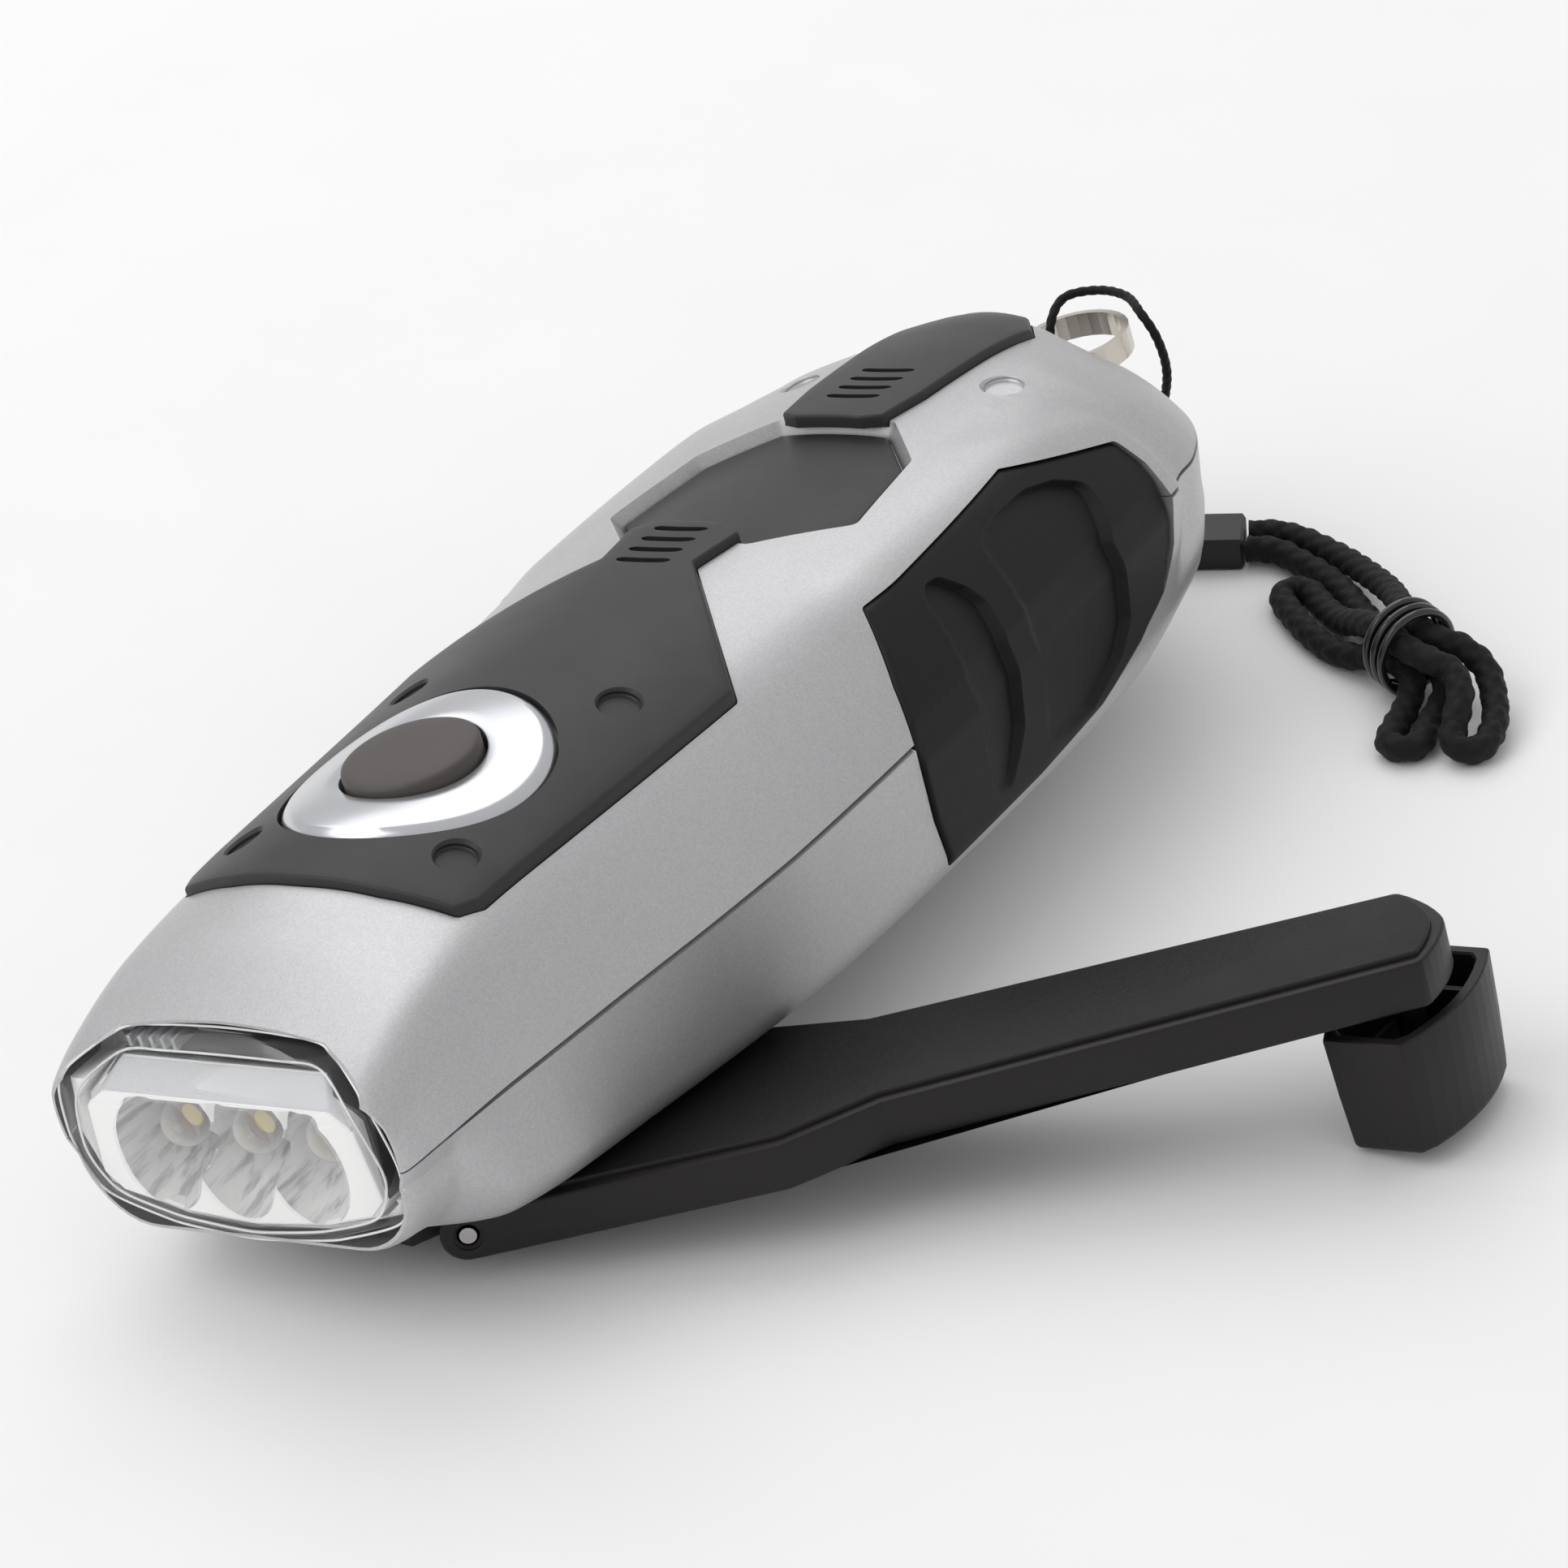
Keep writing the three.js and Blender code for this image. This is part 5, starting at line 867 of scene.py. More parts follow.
SIDEWAYS = Matrix(((0, 0, 1, 0), (1, 0, 0, 0), (0, 1, 0, 0), (0, 0, 0, 1)))
MIRROR_X = Matrix.Scale(-1, 4, (1, 0, 0))
GRIP_REACH = 0.4
GRIP_DEPTH = 1.6
RECESS_SLOPE = 0.28
RECESSES = [
    ([(59.6, -8), (61, -7.3), (62.7, -7.5), (64.3, -9.4), (64.9, -11.2), (63.9, -14.6), (63.4, -18.9),
      (62.5, -23.2), (60.7, -25.4), (58.6, -27.3), (56.2, -26.9), (56.5, -23), (56.8, -19), (57, -14.8),
      (58.6, -11)], 56.5, 64),
    ([(70, -8), (72, -7.3), (76, -7.2), (80.1, -7.5), (83.7, -8.5), (86.5, -10.2), (85.9, -12), (84, -15.2),
      (83.9, -19.2), (83.2, -23.2), (80.6, -25.7), (74.1, -27.9), (70.3, -27.7), (66.1, -26.9), (67.2, -23.5),
      (67.8, -20.5), (67.7, -16.9), (68.7, -13.3), (69.3, -10.8)], 67, 84.5),
]


def smooth_step(value):
    value = np.clip(value, 0, 1)
    return value * value * (3 - 2 * value)


def recess_edge(shape):
    return dense(soft_outline(shape, 1.2, 5), 0.4)


def grip_top(u, v):
    proud = np.full(len(u), GRIP_REACH)
    for shape, front, rear in RECESSES:
        depth = 0.25 + 0.95 * np.clip((u - front) / (rear - front), 0, 1)
        near = inside_distance(np.column_stack([u, v]), recess_edge(shape))
        proud = proud - depth * smooth_step((near + RECESS_SLOPE) / (2 * RECESS_SLOPE))
    near_line = np.exp(-((v - PARTING_Z) / 3.5) ** 2)
    eased = (side_x(u, v - 2) + side_x(u, v + 2)) / 2
    return side_x(u, v) * (1 - near_line) + eased * near_line + proud


def grip_bottom(u, v):
    return side_x(u, v) - GRIP_DEPTH


def make_grips():
    outline = soft_outline(GRIP_OUTLINE, GRIP_CORNER)
    walls = [inset(recess_edge(shape), distance) for shape, _, _ in RECESSES
             for distance in (-RECESS_SLOPE, -0.1, 0.1, RECESS_SLOPE)]
    pad = field_piece("right_grip_pad", outline, grip_top, grip_bottom, 0.45, 0.42, walls)
    moved(pad, SIDEWAYS)
    twin = moved(copy_of(pad), MIRROR_X)
    twin.name = "left_grip_pad"
    shade(pad, 40)
    shade(twin, 40)
    dress(pad, BODY, "body", "rubber", [GRIP], "right_grip")
    dress(twin, BODY, "body", "rubber", [GRIP], "left_grip")


PANEL_RISE = 0.9
PANEL_FOOT = -0.5
DIMPLE_XS = (-12.3, 12.3)
SLOT_COUNT = 4
SLOT_PITCH = 2.2
SLOT_HALF = 3.15
SLOT_HALF_WIDTH = 0.45
SLOT_BOW = 0.35
SLOT_DEPTH = 1.1


def deck_dimple(name, x, y, rise, depth, radius=2, chamfer=0.3):
    """A round cutter that stands square on the deck."""
    height = float(deck_z(x, y)[0]) + rise
    slope = (float(deck_z(x + 0.5, y)[0]) - float(deck_z(x - 0.5, y)[0]))
    tool = turned(name, 0, 0, [(radius - 0.15, -depth), (radius, -depth + 0.15), (radius, -chamfer),
                               (radius + chamfer, 0), (radius + chamfer + 1, 1)], 48)
    return moved(tool, place(x, y, height) @ Matrix.Rotation(-math.atan(slope), 4, "Y"))


def deck_slots(first):
    """Cutters for a row of bowed slots with rounded ends."""
    xs = np.linspace(-SLOT_HALF, SLOT_HALF, 15)
    bow = SLOT_BOW * (xs / SLOT_HALF) ** 2
    wide = [SLOT_HALF_WIDTH * math.sqrt(max(0, 1 - (abs(x) / (SLOT_HALF + 0.05)) ** 8)) for x in xs]
    tools = []
    for i in range(SLOT_COUNT):
        y = first + i * SLOT_PITCH
        rear = [(x, y + b + w) for x, b, w in zip(xs, bow, wide)]
        front = [(x, y + b - w) for x, b, w in zip(xs, bow, wide)]
        low = float(deck_z(0, y)[0]) + PANEL_RISE
        tools.append(prism("slot", front + rear[::-1], low - SLOT_DEPTH, low + 3))
    return tools


def panel_top(rise):
    return lambda u, v: deck_z(u, v) + rise


def make_panels():
    front = field_piece("front_deck_panel", soft_outline(FRONT_PANEL, PANEL_CORNER),
                        panel_top(PANEL_RISE), panel_top(PANEL_FOOT), 0.35, 1.3)
    ring_seat = post("seat", 0, SWITCH_Y, -16, 16, 13.25, sides=96)
    dimples = [deck_dimple("dimple", x, y, PANEL_RISE, 0.75) for x in DIMPLE_XS for y in (0, 26.75)]
    cut(front, ring_seat, *dimples, *deck_slots(49.7))
    dress(shade(front, 40), BODY, "body", "black_panel", [PANEL], "front_panel")
    middle = field_piece("mid_deck_panel", soft_outline(MID_PANEL, MID_CORNER),
                         panel_top(-1.3), panel_top(-1.85), 0.3, 1.3)
    dress(shade(middle, 40), BODY, "body", "black_panel", [PANEL], "mid_panel")
    rear = field_piece("rear_deck_panel", soft_outline(REAR_PANEL, PANEL_CORNER),
                       panel_top(PANEL_RISE), panel_top(PANEL_FOOT), 0.35, 1.1)
    cut(rear, *deck_slots(87.4))
    dress(shade(rear, 40), BODY, "body", "black_panel", [PANEL], "rear_panel")


def make_switch():
    """The ring follows the crowned deck, with rims turned over; the button is a soft dome in it."""
    sides = 128
    turn = np.arange(sides) / sides * 2 * PI
    profile = [(6.95, -2.2), (6.95, 0.75), (7.05, 1.0), (7.3, 1.12), (8.5, 1.2), (11.8, 1.25), (12.2, 1.18),
               (12.75, 0.72), (12.95, 0.4), (12.95, -0.5)]
    rings = []
    for radius, rise in profile:
        x, y = radius * np.cos(turn), SWITCH_Y + radius * np.sin(turn)
        rings.append(np.column_stack([x, y, deck_z(x, y) + rise]))
    last = (len(profile) - 1) * sides
    faces = grid_faces(len(profile), sides)
    faces += [(last + j, last + (j + 1) % sides, (j + 1) % sides, j) for j in range(sides)]
    ring = closed_mesh("switch_bezel", np.vstack(rings), faces)
    dress(shade(ring, 28), BODY, "body", "silver_shell", [BEZEL], "switch_ring")
    crown = float(deck_z(0, SWITCH_Y)[0])
    dome = [(0.01, crown - 3.1), (2.2, crown - 3.1), (2.2, crown - 3), (6.6, crown - 3), (6.6, crown + 1.3),
            (6.5, crown + 1.55), (6.2, crown + 1.72), (5.6, crown + 1.84), (4.2, crown + 1.98),
            (2.2, crown + 2.06), (0.01, crown + 2.09)]
    cap = turned("button_cap", 0, SWITCH_Y, dome, 96)
    dress(shade(cap, 40), BODY, "button", "rubber", [BUTTON], "switch_button")


make_grips()
make_panels()
make_switch()

# Lamp: rings of the lens, right half from the top
LENS_RIM = [(0, -21.9, -5.3), (6, -22.0, -5.4), (11.8, -22.3, -5.8), (18, -26.2, -9.2), (19.3, -26.2, -15.7),
            (17.9, -26.1, -21.5), (9.4, -26.5, -24.1), (0, -26.7, -24.8)]
LENS_FACE = [(0, -24, -7.1), (6, -23.95, -7.2), (11.5, -23.9, -7.4), (16.1, -26.9, -10.3), (17.7, -26.9, -17),
             (15.6, -27, -21), (8.5, -27.3, -23), (0, -27.45, -23.8)]
SEAT_WALL = 0.3
HIGHLIGHT_LINE_RADIUS = 0.12
FAN_FRONT = -60
LED_PITCH = 8.4
LED_XS = [-LED_PITCH, 0, LED_PITCH]
LED_Z = -15.9
BOWL_Z = -16.5
LAMP_MIDDLE = Vector((0, 0, -15.5))


def ring_points(half, margin=0, ahead=0):
    """Both halves of a ring, pulled toward the lamp's middle by a margin and moved along Y."""
    points = []
    for x, y, z in half:
        for side in (-1, 1):
            if side < 0 and x == 0:
                continue
            pull = (Vector((side * x, 0, z)) - LAMP_MIDDLE).normalized() * margin
            points.append((side * x - pull.x, y + ahead, z - pull.z))
    return points


def around(half):
    """The ring once around, from the top over the right side."""
    return list(half) + [(-x, y, z) for x, y, z in reversed(half) if x > 0]


def fan_cutter(name, half):
    """Everything in front of a surface that meets the hull along the ring's corners."""
    rings = []
    for reach, far in ((0.02, False), (0.8, False), (1, False), (2.2, False), (2.2, True), (0.02, True)):
        ring = []
        for x, y, z in around(half):
            away = Vector((x, 0, z)) - LAMP_MIDDLE
            ring.append((away.x * reach, FAN_FRONT if far else y, LAMP_MIDDLE.z + away.z * reach))
        rings.append(ring)
    return loft(name, rings)


def smooth_loop(loop):
    """Points along a closed loop of straight sides with short curves at its corners."""
    points = []
    for before, corner, after in zip(loop[-1:] + loop[:-1], loop, loop[1:] + loop[:1]):
        for end in (before, after):
            reach = min(0.9, (end - corner).length * 0.4)
            points.append(corner + (end - corner).normalized() * reach)
    return points + points[:1]


def convex(name, points, bevel=0, segments=3):
    """The convex solid around points, with bevelled edges."""
    bm = bmesh.new()
    for point in points:
        bm.verts.new(point)
    made = bmesh.ops.convex_hull(bm, input=bm.verts)
    bmesh.ops.delete(bm, geom=[g for g in made["geom_interior"] if isinstance(g, bmesh.types.BMVert)],
                     context="VERTS")
    bmesh.ops.dissolve_limit(bm, angle_limit=math.radians(1.5), verts=bm.verts, edges=bm.edges)
    bmesh.ops.recalc_face_normals(bm, faces=bm.faces)
    if bevel:
        sharp = [e for e in bm.edges if e.calc_face_angle(0) > math.radians(18)]
        bmesh.ops.bevel(bm, geom=sharp, offset=bevel, segments=segments, profile=0.5, affect="EDGES",
                        clamp_overlap=True)
    bmesh.ops.triangulate(bm, faces=bm.faces)
    mesh = bpy.data.meshes.new(name)
    bm.to_mesh(mesh)
    bm.free()
    obj = bpy.data.objects.new(name, mesh)
    scene.collection.objects.link(obj)
    return obj


def nose_form(name, margin, y0, y1, spacing=0.7):
    """The hull's nose moved inward by a margin, between two places along the body."""
    return hull(name, margin, rows=np.arange(y0, y1, spacing))


# Each row of a cup: place along the body, half width, half height, middle height
BOWL_ROWS = [
    (-30, 4.5, 5.9, BOWL_Z), (-26.5, 4.5, 5.9, BOWL_Z), (-25, 4.42, 5.6, BOWL_Z),
    (-23.5, 4.28, 5.15, BOWL_Z + 0.1), (-22, 4.05, 4.65, BOWL_Z + 0.2),
    (-20.5, 3.72, 4.05, BOWL_Z + 0.35), (-19, 3.3, 3.4, BOWL_Z + 0.5),
    (-17.8, 2.85, 2.85, LED_Z), (-17.4, 2.62, 2.62, LED_Z), (-12, 2.62, 2.62, LED_Z),
]
BOWL_SIDES = 192


def bowl(x):
    """One mirrored, faintly fluted cup, wide at the plate and narrow behind its light."""
    turn = np.arange(BOWL_SIDES) / BOWL_SIDES * 2 * PI
    flute = 1 - 0.006 * np.abs(np.sin(turn * 15)) - 0.004 * np.sin(turn * 7 + x)
    return loft("bowl", [np.column_stack([x + wide * flute * np.cos(turn), np.full(BOWL_SIDES, y),
                                          z + tall * flute * np.sin(turn)])
                         for y, wide, tall, z in BOWL_ROWS])


def both_sides(points):
    return [(side * x, y, z) for x, y, z in points for side in (-1, 1)]


# Shells
RING_PLACE = Vector((3.5, 0, -13.3))
RING_RADIUS = 6
RING_HEIGHT = 2.6
TAIL_END = float(station_y[-1])
LUG_PIN_Y = TAIL_END - 2.4
RING_Y = LUG_PIN_Y + RING_RADIUS - 0.7 - 0.9 - 0.6
FRONT_SCREW = (19, 24)
REAR_SCREW = (17, 100)
KNOB_POCKET_TOP = 13.8
KNOB_POCKET_Y = KNOB_REACH - PIN_OFFSET
PARTING_DEPTH = 0.5
PARTING_GAP = 0.1
LIP_FRONT = 50
LIP_SWELL = 0.75
SCOOP_DEPTH = 0.4
SCOOP_PLACE = 5
PANEL_BED = 0.62
GRIP_BED = 1.7
PANEL_SEAM = 0.16
GRIP_SEAM = 0.18


def half_shell(name, upper):
    """Outer form of one shell with a chamfered parting edge."""
    rings = []
    for y in hull_rows(0.6):
        sizes = sizes_at(y)[0]
        gap = min(PARTING_DEPTH, sizes[0] * 0.1)
        if upper:
            right = upper_half(sizes, y)
            right[-1] = (sizes[0] - gap, PARTING_Z + PARTING_GAP)
            edge = right[-2] + (np.array((sizes[0], PARTING_Z)) - right[-2]) * 0.7
        else:
            right = lower_half(sizes)[::-1]
            right[-1] = (sizes[0] - gap, PARTING_Z - PARTING_GAP)
            edge = right[-2] + (np.array((sizes[0], PARTING_Z)) - right[-2]) * 0.86
        right = np.vstack([right[:-1], [edge], right[-1:]])
        rings.append(mirrored_ring(right, y, False))
    return loft(name, rings)


def cavity(name):
    """The room inside the shells' walls, open at the nose."""
    front = np.linspace(station_y[0] + 0.5, TAIL_Y, 40)
    rows = np.concatenate([[station_y[0] - 3], front, [TAIL_Y + 2, TAIL_Y + 4]])
    return hull(name, SHELL_WALL, rows=rows)


def flared(obj):
    """The shell swells into a soft lip along the grips' top and rear edges, with a scoop beyond it."""
    mesh = obj.data
    flat = np.empty(len(mesh.vertices) * 3)
    mesh.vertices.foreach_get("co", flat)
    points = flat.reshape(-1, 3)
    near = (points[:, 1] > LIP_FRONT - 12) & (points[:, 1] < TAIL_Y) & (np.abs(points[:, 0]) > 14)
    outline = dense(soft_outline(GRIP_OUTLINE, GRIP_CORNER), 0.8)
    away = -inside_distance(points[near][:, 1:], outline)
    y = points[near][:, 1]
    along = smooth_step((y - LIP_FRONT) / 9)
    swell = LIP_SWELL * (1 - smooth_step((away - 1.9) / 1.6)) * (away > -1.5)
    scoop = -SCOOP_DEPTH * np.exp(-((away - SCOOP_PLACE) / 1.9) ** 2)
    below = smooth_step((points[near][:, 2] + 27) / 6)
    points[near, 0] += np.sign(points[near, 0]) * (swell + scoop) * along * below
    mesh.vertices.foreach_set("co", points.ravel())
    mesh.update()
    return obj


def knob_outline(margin, centre_y):
    half_end, half_wide = 4 + margin, 6.1 + margin
    reach = 8.9 + margin
    return mirrored([(half_end, centre_y - reach), (half_wide - 0.49, centre_y - 3.92),
                     (half_wide - 0.49, centre_y + 3.92), (half_end, centre_y + reach)])


def strap_slot():
    half = RING_RADIUS + 0.7
    return block("strap_slot", RING_PLACE.x - half, RING_PLACE.x + half, RING_Y - half, RING_Y + half,
                 RING_PLACE.z - RING_HEIGHT / 2 - 0.3, RING_PLACE.z + RING_HEIGHT / 2 + 0.3)


def mid_pocket():
    """The pocket's walls slope in to the recessed panel."""
    outline = dense(soft_outline(MID_PANEL, MID_CORNER), 1.5)
    rings = []
    for margin, rise in ((0.15, -2.1), (0.2, -1.9), (1.15, 0), (3.4, 6)):
        wide = inset(outline, -margin)
        rings.append(np.column_stack([wide, deck_z(wide[:, 0], wide[:, 1]) + rise]))
    return loft("mid_pocket", rings)


def make_upper_shell(hollow, lens_tools, slot, grip_pockets):
    """The upper shell holds the deck's inlays, the button's well and two dimples."""
    upper = flared(half_shell("upper_case", True))
    sunk = kept(hull("sunk", PANEL_BED, 1.6))
    pockets = []
    for outline in (FRONT_PANEL, REAR_PANEL):
        edge = inset(dense(soft_outline(outline, PANEL_CORNER), 2), -PANEL_SEAM)
        pockets.append(cut(prism("panel_pocket", edge, -11, 12), sunk))
    well = post("button_well", 0, SWITCH_Y, -16, 16, 8.2)
    dimples = [deck_dimple("dimple", x, 95.7, 0, 0.7) for x in DIMPLE_XS]
    cut(upper, hollow, *lens_tools, *pockets, mid_pocket(), well, *dimples, slot, *grip_pockets)
    cut(upper, post("pin_seat", RING_PLACE.x, LUG_PIN_Y, -18, -10, 1.05, sides=24))
    dress(shade(upper, 30), BODY, "body", "silver_shell", [SILVER], "upper_shell")
    drop(sunk)


def make_lower_shell(hollow, lens_tools, slot, grip_pockets):
    """The lower shell holds the hub's well, the knob's pocket and the screw holes."""
    lower = flared(half_shell("lower_case", False))
    to_body = BODY.inverted() @ UNDER
    hub_well = moved(post("hub_well", 0, 0, -3, 1.7, 9.3, sides=96), to_body)
    hub_bore = moved(post("hub_bore", 0, 0, 0, 12, 3.3), to_body)
    wall_edge = knob_outline(2.3, KNOB_POCKET_Y)
    pocket_walls = moved(prism("pocket_walls", wall_edge, 0.2, KNOB_POCKET_TOP + 1.1), to_body)
    meet(pocket_walls, hull("inner_form", 1.1, 2.5))
    pocket_edge = soft_outline(knob_outline(1.2, KNOB_POCKET_Y), 1)
    pocket = moved(prism("pocket", pocket_edge, -3, KNOB_POCKET_TOP), to_body)
    cut(lower, hollow)
    join(lower, pocket_walls)
    holes = [post("screw_hole", side * x, y, -60, -24, 3.1, sides=40)
             for x, y in (FRONT_SCREW, REAR_SCREW) for side in (-1, 1)]
    cut(lower, *lens_tools, slot, *grip_pockets, hub_well, hub_bore, pocket, *holes)
    dress(shade(lower, 30), BODY, "body", "silver_shell", [SILVER], "lower_shell")


def make_shells():
    hollow = kept(cavity("hollow"))
    rim = kept(fan_cutter("lens_rim_cut", LENS_RIM))
    seat = kept(nose_form("lens_seat", SEAT_WALL, station_y[0] - 3, -18.4))
    slot = kept(strap_slot())
    grip_bed = kept(hull("grip_bed", GRIP_BED, 1.6))
    grip_edge = inset(dense(soft_outline(GRIP_OUTLINE, GRIP_CORNER), 1.5), -GRIP_SEAM)
    grip_pockets = [kept(cut(prism_x("grip_pocket", grip_edge, *reach), grip_bed))
                    for reach in ((4, 40), (-40, -4))]
    make_upper_shell(hollow, (rim, seat), slot, grip_pockets)
    make_lower_shell(hollow, (rim, seat), slot, grip_pockets)
    drop(hollow, rim, seat, grip_bed, slot, *grip_pockets)


make_shells()


# Corners of the reflector's plate and of the frame around it, right half
PLATE_FRONT = [(12.9, -25.9, -10.5), (15.2, -26.2, -12), (16, -26.3, -19.2), (14.2, -26.4, -20.9),
               (8, -26.5, -22.3), (0, -26.6, -22.9)]
PLATE_BACK = [(11.6, -23.5, -8.3), (12.2, -17, -8.3), (15.6, -17, -12), (15.6, -17, -19.7),
              (14, -17, -20.6), (8, -17, -21.9), (0, -17, -22.4)]
FRAME_FRONT = [(16.15, -24.4, -12), (16.2, -25.7, -19.3), (14.5, -25.8, -21.2), (8.1, -25.9, -22.7),
               (0, -26, -23.3), (11.9, -22.9, -8), (13.1, -24.6, -9.7)]
FRAME_BACK = [(11.9, -17.2, -7.9), (16.2, -17.2, -12), (16.2, -17.2, -19.8), (14.4, -17.2, -20.9),
              (8.1, -17.2, -22.2), (0, -17.2, -22.7)]
RIB_XS = (-11.2, -9.9, -8.6, -7.3, -6)


def make_lens():
    """A clear cover with a skirt behind its rim, hollow inside."""
    rim, face = ring_points(LENS_RIM, 0.62, -0.05), ring_points(LENS_FACE)
    back = ring_points(LENS_RIM, 0.9, 2.2)
    glass = convex("lamp_lens", back + rim + face, 0.28)
    room = convex("lens_room", ring_points(LENS_RIM, 1.0, 9) + ring_points(LENS_RIM, 0.95, 0.9)
                  + ring_points(LENS_FACE, 0.55, 0.8), 0.15, 2)
    skirt = nose_form("lens_skirt", SEAT_WALL + 0.15, -24, -18.6)
    skirt_room = nose_form("skirt_room", SEAT_WALL + 0.7, -32, -17)
    cut(skirt, skirt_room)
    join(glass, skirt)
    cut(glass, room)
    dress(shade(glass, 25), BODY, "body", "clear", [CLEAR], "lens_cover")


def reflector_face(middle, way):
    """White plate with its upward faces, the shelf, painted grey as shade, and mirrored cups."""
    nearest = min(LED_XS, key=lambda x: abs(middle.x - x))
    inward = (nearest - middle.x) * way.x + (BOWL_Z - middle.z) * way.z
    if middle.y > -26.45 and abs(way.y) < 0.9 and inward > 0.5 and abs(middle.x - nearest) < 4.6:
        return 2
    # Faces that look up and forward get the grey: painted shade.
    return 1 if way.z > 0.4 and way.y < -0.3 else 0


def make_reflector():
    plate = convex("lamp_reflector", both_sides(PLATE_FRONT + PLATE_BACK), 0.2, 2)
    trough = [(x, y, z) for x, y in ((-11.4, -32), (11.9, -32), (-10.6, -22.9), (11.1, -22.9))
              for z in (-10.9, -15.4)]
    cut(plate, *[bowl(x) for x in LED_XS], convex("trough", trough, 0.9))
    dress_faces(shade(plate, 30), BODY, "body", "white_plastic", [WHITE, SHELF_SHADE_GREY, MIRROR], reflector_face,
                "reflector")


def frame_face(middle, way):
    """Black at the top and on the right, white elsewhere."""
    return int(middle.z < -9.6 and (middle.x < 12 or middle.z < -19))


def make_frame():
    """The frame around the plate, with a back wall."""
    sleeve = convex("lamp_frame", both_sides(FRAME_FRONT + FRAME_BACK))
    cut(sleeve, convex("plate_room", both_sides(PLATE_FRONT + PLATE_BACK)))
    back = nose_form("frame_back", SEAT_WALL + 1.3, -19.2, -18)
    cut(back, block("back_hole", -15, 15, -25, -10, -22, -8.6))
    join(sleeve, back)
    dress_faces(shade(sleeve, 30), BODY, "body", "satin_black", [INNER_BLACK, WHITE], frame_face)


def make_lens_edges():
    """A white guide under the lens, left and below, and thin bright lines along its corners as painted highlights.
    """
    guide = convex("lens_guide", ring_points(LENS_RIM, 1.15, 8) + ring_points(LENS_RIM, 1.08, 1.1)
                   + ring_points(LENS_FACE, 0.7, 1.15))
    guide_room = [(side * x * 1.03, y + ahead, z - 0.2 if z < -15 else z + 0.2)
                  for x, y, z in FRAME_FRONT + FRAME_BACK for side in (-1, 1) for ahead in (-9, 9)]
    cut(guide, convex("guide_room", guide_room), block("guide_top", -40, 40, -40, 0, -9.9, 0),
        block("guide_side", 11.8, 40, -40, 0, -19.5, 0))
    dress(shade(guide, 30), BODY, "body", "white_plastic", [WHITE])
    # Thin bright tubes along the rim and face corners paint the lens's edge highlights.
    for name, ring, ahead in (("lens_rim_highlight", LENS_RIM, -0.35), ("lens_face_highlight", LENS_FACE, 0.05)):
        loop = [Vector(p) + Vector((0, ahead, 0)) for p in around(ring)]
        loop = [p + (LAMP_MIDDLE - p) * 0.02 for p in loop]
        line, _ = routed(smooth_loop(loop), 0.5)
        highlight_line = tube(name, line, 10, plain(HIGHLIGHT_LINE_RADIUS))
        dress(shade(highlight_line, 60), BODY, "body", "clear", [EDGE_HIGHLIGHT])


def make_frame_trim():
    """Ribs over the frame and a short bar at its right."""
    for number, x in enumerate(RIB_XS, 1):
        rib = block(f"frame_rib_{number}", x - 0.2, x + 0.2, -22.4, -18.6, -8.2, -6.9)
        dress(shade(rib), BODY, "body", "satin_black", [SHELF_SHADE_GREY])
    bar = block("frame_bar", 13.2, 16.7, -23.6, -23.1, -12.25, -11.75)
    dress(shade(bar), BODY, "body", "white_plastic", [WHITE])


# Profiles of an LED's parts: radius and place along the body, from the back to the tip
LED_RADIUS = 2.48
LED_TIP = -24.2
LED_FLANGE = [(2.9, -15.4), (2.9, -16.3), (LED_RADIUS, -16.35), (LED_RADIUS, -18.5)]
LED_CUP = [(0.35, -16.8), (0.9, -19.6), (1.75, -21.4), (1.6, -21.4), (0.9, -20.5), (0.01, -20.4)]
LED_CHIP = [(0.85, -20.45), (1.15, -21), (0.7, -21.25), (0.01, -21.3)]


def make_leds():
    arc = [(LED_RADIUS * math.cos(a), LED_TIP + LED_RADIUS * (1 - math.sin(a)))
           for a in np.linspace(0, PI / 2, 12)]
    for number, x in enumerate(LED_XS, 1):
        dome = turned_y(f"led_dome_{number}", x, LED_Z, (LED_FLANGE + arc)[::-1], 40)
        dress(shade(dome, 40), BODY, "body", "clear", [LED_CLEAR], f"led_{number}")
        cup = turned_y(f"led_cup_{number}", x, LED_Z, LED_CUP[::-1], 28)
        dress(shade(cup, 40), BODY, "body", "steel", [LEAD_FRAME])
        chip = turned_y(f"led_chip_{number}", x, LED_Z, LED_CHIP[::-1], 20)
        dress(shade(chip, 40), BODY, "body", "white_plastic", [PHOSPHOR])


make_lens()
make_reflector()
make_frame()
make_lens_edges()
make_frame_trim()
make_leds()

# Crank arm and knob, in the arm's frame with the pin at the origin
ARM_POINTS = [(0, 10.2), (29, 11.7), (38.5, 8.4), (87.5, 7.2)]
ARM_TIP_REACH = 3.5
ARM_TIP_SHARES = [(0.14, 0.955), (0.35, 0.82), (0.54, 0.67), (0.72, 0.5), (0.86, 0.32), (0.95, 0.17),
                  (0.99, 0.06)]
ARM_RIBS = ((16, 10), (30, 10.8), (45, 7.4), (60, 7.1), (75, 6.7))
ARM_RIB_FOOT = -1.4
ARM_LEDGE_Z = 2.2
ARM_TOP_Z = 2.7
ARM_BOTTOM_Z = -2.4
ARM_WALL = 1.5
ARM_PLATE_Z = 1.5
EAR_INSIDE = 8.6
EAR_RADIUS = 2.5
KNOB_RIM = 4.3
KNOB_HEIGHT = 11.7
KNOB_FLOOR = KNOB_RIM + KNOB_HEIGHT * 0.45
KNOB_WEB = 1.3
STEM_END = -KNOB_FLOOR - KNOB_WEB
KNOB_HALF_END = 4
KNOB_HALF = 8.9
KNOB_BOW = 2.1


